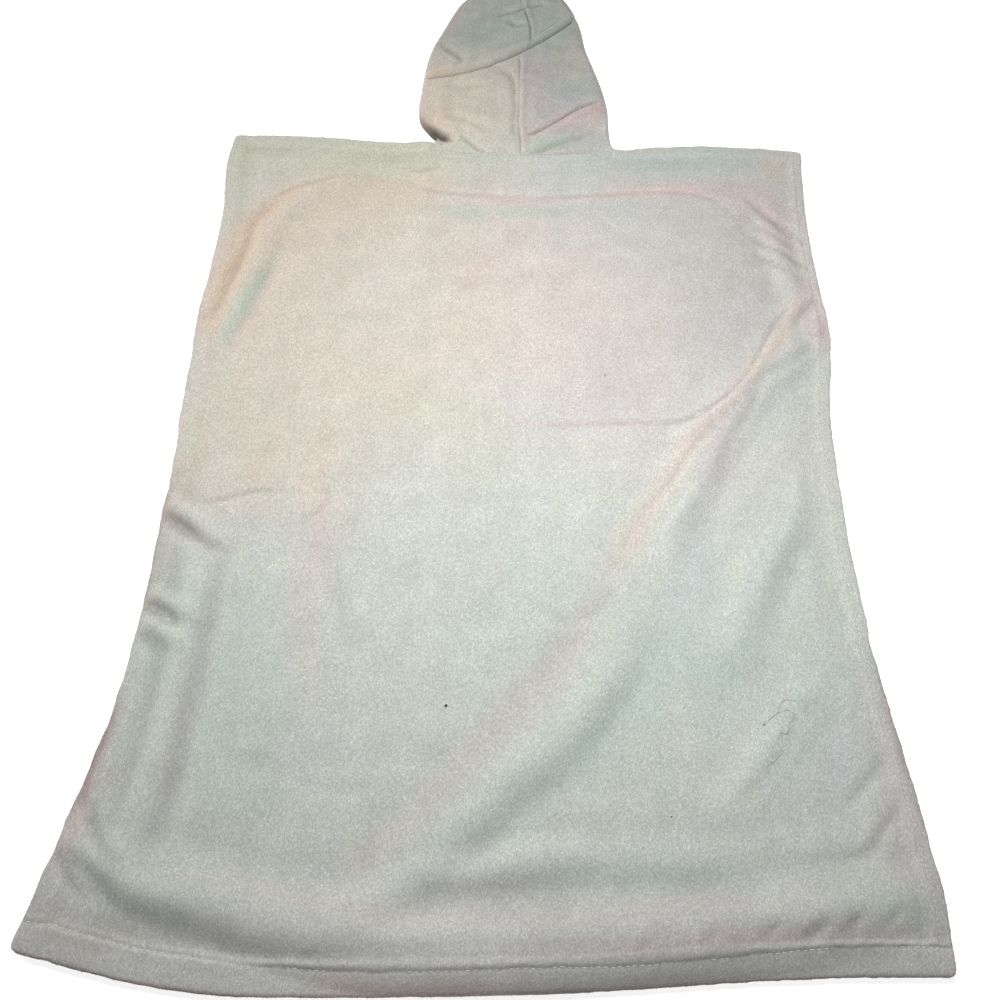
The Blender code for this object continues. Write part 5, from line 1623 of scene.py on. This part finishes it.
def rescale(tree, value, start, end, low, high):
    inputs = {"Value": value, "From Min": start, "From Max": end, "To Min": low, "To Max": high}
    return wire(tree, "ShaderNodeMapRange", inputs, clamp=True).outputs[0]


def addUp(tree, parts):
    total = None
    for part, weight in parts:
        weighted = calc(tree, "MULTIPLY", part, weight)
        total = weighted if total is None else calc(tree, "ADD", total, weighted)
    return total


def roughen(tree, shader, height, strength, depth):
    bump = wire(tree, "ShaderNodeBump", {"Height": height, "Strength": strength, "Distance": depth})
    tree.links.new(bump.outputs[0], shader.inputs["Normal"])


terry = {
    "loopSize": 0.00085,  # across one loop of the pile
    "loopStretch": 0.60,  # loops lie along the cloth, so they look longer than wide
    "loopSpread": 0.30,  # how unlike each other the loops are in lightness
    "fibreSize": 0.0007,
    "fibreStretch": 0.5,
    "waleSize": 0.0026,  # rows of the ground weave
    "waleStretch": 0.10,
    "tuftSize": 0.0060,  # across a clump of loops
    "glintPatchSize": 0.030,  # across a patch where more loops get a painted glint, as where the nap stands up
    "glintPatchShare": 0.10,
    "pileMix": (0.55, 0.45),  # loops, fibres
    "shadeMix": (0.80, 0.13, 0.08),  # pile, wales, clumps
    "loopDepth": 0.00022,
    "gapShade": 0.80,  # painted shade: how dark the cloth is made between its loops
    "loopShade": 1.08,  # and painted light on top of them
    "paintedGlint": 1.16,  # painted glint on the few loops that catch the light
    "roughness": 0.95,
    "sheen": 0.22,
    "sheenRoughness": 0.55,
}


def makeTerry(name, lift=1.0):
    material, tree, shader = newMaterial(name)
    place = objectPlace(tree)
    dyedAndShaded = wire(tree, "ShaderNodeAttribute", {}, attribute_name="dyeAndShade").outputs["Color"]
    cells = wire(tree, "ShaderNodeTexVoronoi", {
        "Vector": stretched(tree, place, terry["loopStretch"]),
        "Scale": 1 / terry["loopSize"],
        "Randomness": 0.9,
    }).outputs
    loopTone = wire(tree, "ShaderNodeSeparateColor", {"Color": cells["Color"]}).outputs
    loopTop = rescale(tree, cells["Distance"], 0.0, 0.75, 1.0, 0.0)
    wales = noise(tree, stretched(tree, place, terry["waleStretch"]), terry["waleSize"], 1.0)
    clumps = noise(tree, place, terry["tuftSize"], 3.0, 0.6)
    fibre = noise(tree, stretched(tree, place, terry["fibreStretch"]), terry["fibreSize"], 0.0)
    glintPatches = rescale(tree, noise(tree, place, terry["glintPatchSize"], 3.0, 0.6), 0.40, 0.68, 0.0, 1.0)

    pile = addUp(tree, zip((loopTop, fibre), terry["pileMix"]))
    tinted = addUp(tree, zip((pile, wales, clumps), terry["shadeMix"]))
    # painted shade between the loops and painted light on their tops
    shade = rescale(tree, tinted, 0.35, 0.85, terry["gapShade"], terry["loopShade"])
    half = terry["loopSpread"] / 2
    spread = rescale(tree, loopTone["Red"], 0.0, 1.0, 1 - half, 1 + half)
    # painted glints on a few loops, more of them in the patches
    glintChance = calc(tree, "ADD", loopTone["Green"], calc(tree, "MULTIPLY", glintPatches, terry["glintPatchShare"]))
    glints = rescale(tree, glintChance, 0.90, 1.02, 1.0, terry["paintedGlint"])
    for factor in (spread, glints, lift):
        shade = calc(tree, "MULTIPLY", shade, factor)
    tree.links.new(onVector(tree, "SCALE", {0: dyedAndShaded, "Scale": shade}), shader.inputs["Base Color"])
    roughen(tree, shader, pile, 0.9, terry["loopDepth"])
    shader.inputs["Roughness"].default_value = terry["roughness"]
    shader.inputs["Specular IOR Level"].default_value = 0.2
    shader.inputs["Sheen Weight"].default_value = terry["sheen"]
    shader.inputs["Sheen Roughness"].default_value = terry["sheenRoughness"]
    return material


def makeFibre(name, dark, light, plySize, roughness, ends=(0.0, 1.0), depth=0.0):
    material, tree, shader = newMaterial(name)
    ply = noise(tree, objectPlace(tree), plySize, 1.0)
    tint = wire(tree, "ShaderNodeValToRGB", {"Fac": ply})
    for stop, tone, position in zip(tint.color_ramp.elements, (dark, light), ends):
        stop.color = (*tone, 1)
        stop.position = position
    tree.links.new(tint.outputs["Color"], shader.inputs["Base Color"])
    if depth:
        roughen(tree, shader, ply, 0.4, depth)
    shader.inputs["Roughness"].default_value = roughness
    return material


def makeLint(name, tone, roughness):
    return makeFibre(name, linear(tone) * 0.7, linear(tone), 0.0012, roughness)


stage = {
    "camera": (0.0163, -0.649, 0.80),
    "tilt": 30,
    "turn": 2,
    "lens": 36,
    "nearest": 0.01,
    "floorSize": 6.0,
    "floorLevel": -0.0004,
    "floorTone": (0.62, 0.62, 0.617, 1),
    "floorGlow": 0.80,
    "lampAim": (0.05, -0.05, 0.0),
    "lamps": [  # name, place, size, power, colour
        ("lamp", (0.08, -0.08, 0.80), 0.38, 7.8, (1.0, 1.0, 0.998)),
        ("window", (-1.5, 0.40, 0.60), 0.50, 10.2, (1.0, 1.0, 1.0)),
    ],
    "sky": (0.95, 0.97, 1.0, 1),
    "skyLight": 0.07,
}


def makeFloor():
    size, level = stage["floorSize"], stage["floorLevel"]
    corners = [(-size, -size, level), (size, -size, level), (size, size, level), (-size, size, level)]
    mesh = bpy.data.meshes.new("floor")
    mesh.from_pydata(corners, [], [(0, 1, 2, 3)])
    material, _, shader = newMaterial("pale_floor")
    shader.inputs["Base Color"].default_value = stage["floorTone"]
    shader.inputs["Roughness"].default_value = 0.8
    shader.inputs["Emission Color"].default_value = (1.0, 1.0, 1.0, 1)
    shader.inputs["Emission Strength"].default_value = stage["floorGlow"]
    mesh.materials.append(material)
    addObject("floor", mesh)


def makeLights():
    aim = mathutils.Vector(stage["lampAim"])
    for name, place, size, power, colour in stage["lamps"]:
        light = bpy.data.lights.new(name, "AREA")
        light.shape = "SQUARE"
        light.size = size
        light.energy = power
        light.color = colour
        lamp = addObject(name, light)
        lamp.location = place
        lamp.rotation_euler = (aim - lamp.location).to_track_quat("-Z", "Y").to_euler()
    world = bpy.data.worlds.new("studio")
    world.use_nodes = True
    background = world.node_tree.nodes["Background"]
    background.inputs["Color"].default_value = stage["sky"]
    background.inputs["Strength"].default_value = stage["skyLight"]
    bpy.context.scene.world = world
    bpy.context.scene.view_settings.view_transform = "Standard"


def makeCamera():
    camera = addObject("camera", bpy.data.cameras.new("camera"))
    camera.location = stage["camera"]
    camera.rotation_euler = (math.radians(stage["tilt"]), 0.0, math.radians(stage["turn"]))
    camera.data.lens = stage["lens"]
    camera.data.sensor_width = 36
    camera.data.clip_start = stage["nearest"]
    bpy.context.scene.camera = camera


makeCamera()
makeFloor()
makeLights()
print("stage ready")
terryMaterial = makeTerry("dyed_and_shaded_terry")
napMaterial = makeTerry("raised_loops", lift=1.02)
threadMaterial = makeFibre(
    "sewing_thread", linear((206, 211, 203)), linear((238, 240, 234)), plySize=0.0005, roughness=0.7,
    ends=(0.3, 0.7), depth=0.0002,
)
fibreMaterial = makeLint("grey_fibre", (144, 148, 148), 0.7)
lintMaterial = makeLint("dark_lint", (46, 44, 42), 0.8)

backCloth = makeBack(terryMaterial)
print("back:", len(backCloth.data.polygons), "faces")
frontCloth = makeFront(terryMaterial)
print("front:", len(frontCloth.data.polygons), "faces")
hoodLeft = makeHoodHalf("hood_left_cloth", -1, terryMaterial)
hoodRight = makeHoodHalf("hood_right_cloth", 1, terryMaterial)
print("hood:", len(hoodLeft.data.polygons) + len(hoodRight.data.polygons), "faces")

# colours of the dyeing, painted shade and painted shadow laid into each piece's colour
paintDyeAndShade(backCloth, [groundDyeAndShade, dyeAndShadeStrokes])
paintDyeAndShade(frontCloth, [groundDyeAndShade, dyeAndShadeStrokes], turned=-1)
paintDyeAndShade(hoodLeft, [hoodDyeAndShade])
paintDyeAndShade(hoodRight, [hoodDyeAndShade])
print("dyedAndShaded")

stitchNodes, napNodes, strandNodes = makeStitchNodes(), makeNapNodes(), makeStrandNodes()
hemStitches = makeStitches("hem_stitches", hemRow(), stitching["hem"], 12, stitchNodes, threadMaterial)
seamStitches = makeStitches(
    "seam_stitches", seamRows(), stitching["seams"], 13, stitchNodes, threadMaterial
)
backNap = makeNap(backCloth, "back_nap", napNodes, 21, napMaterial)
leftNap = makeNap(hoodLeft, "hood_left_nap", napNodes, 22, napMaterial)
rightNap = makeNap(hoodRight, "hood_right_nap", napNodes, 23, napMaterial)
strand = makeLooseThread(strandNodes, fibreMaterial)
specks = makeSpecks(strandNodes, lintMaterial)
print("stitches, nap and lint laid on")

sheetFacts = [  # piece, node it stands for, cut width and length, area, what it lies on, what lies on it
    (backCloth, "back_panel", (0.716, 0.920), 0.620, "front_cloth",
     [hemStitches, seamStitches, backNap, strand, specks]),
    (frontCloth, "front_panel", (0.716, 0.920), 0.600, "floor", []),
    (hoodLeft, "hood_left", (0.235, 0.400), 0.078, "floor", [leftNap]),
    (hoodRight, "hood_right", (0.235, 0.400), 0.078, "floor", [rightNap]),
]
for piece, node, flat, area, support, onPiece in sheetFacts:
    for part in (piece, *onPiece):
        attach(part, "root")
    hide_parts(node)
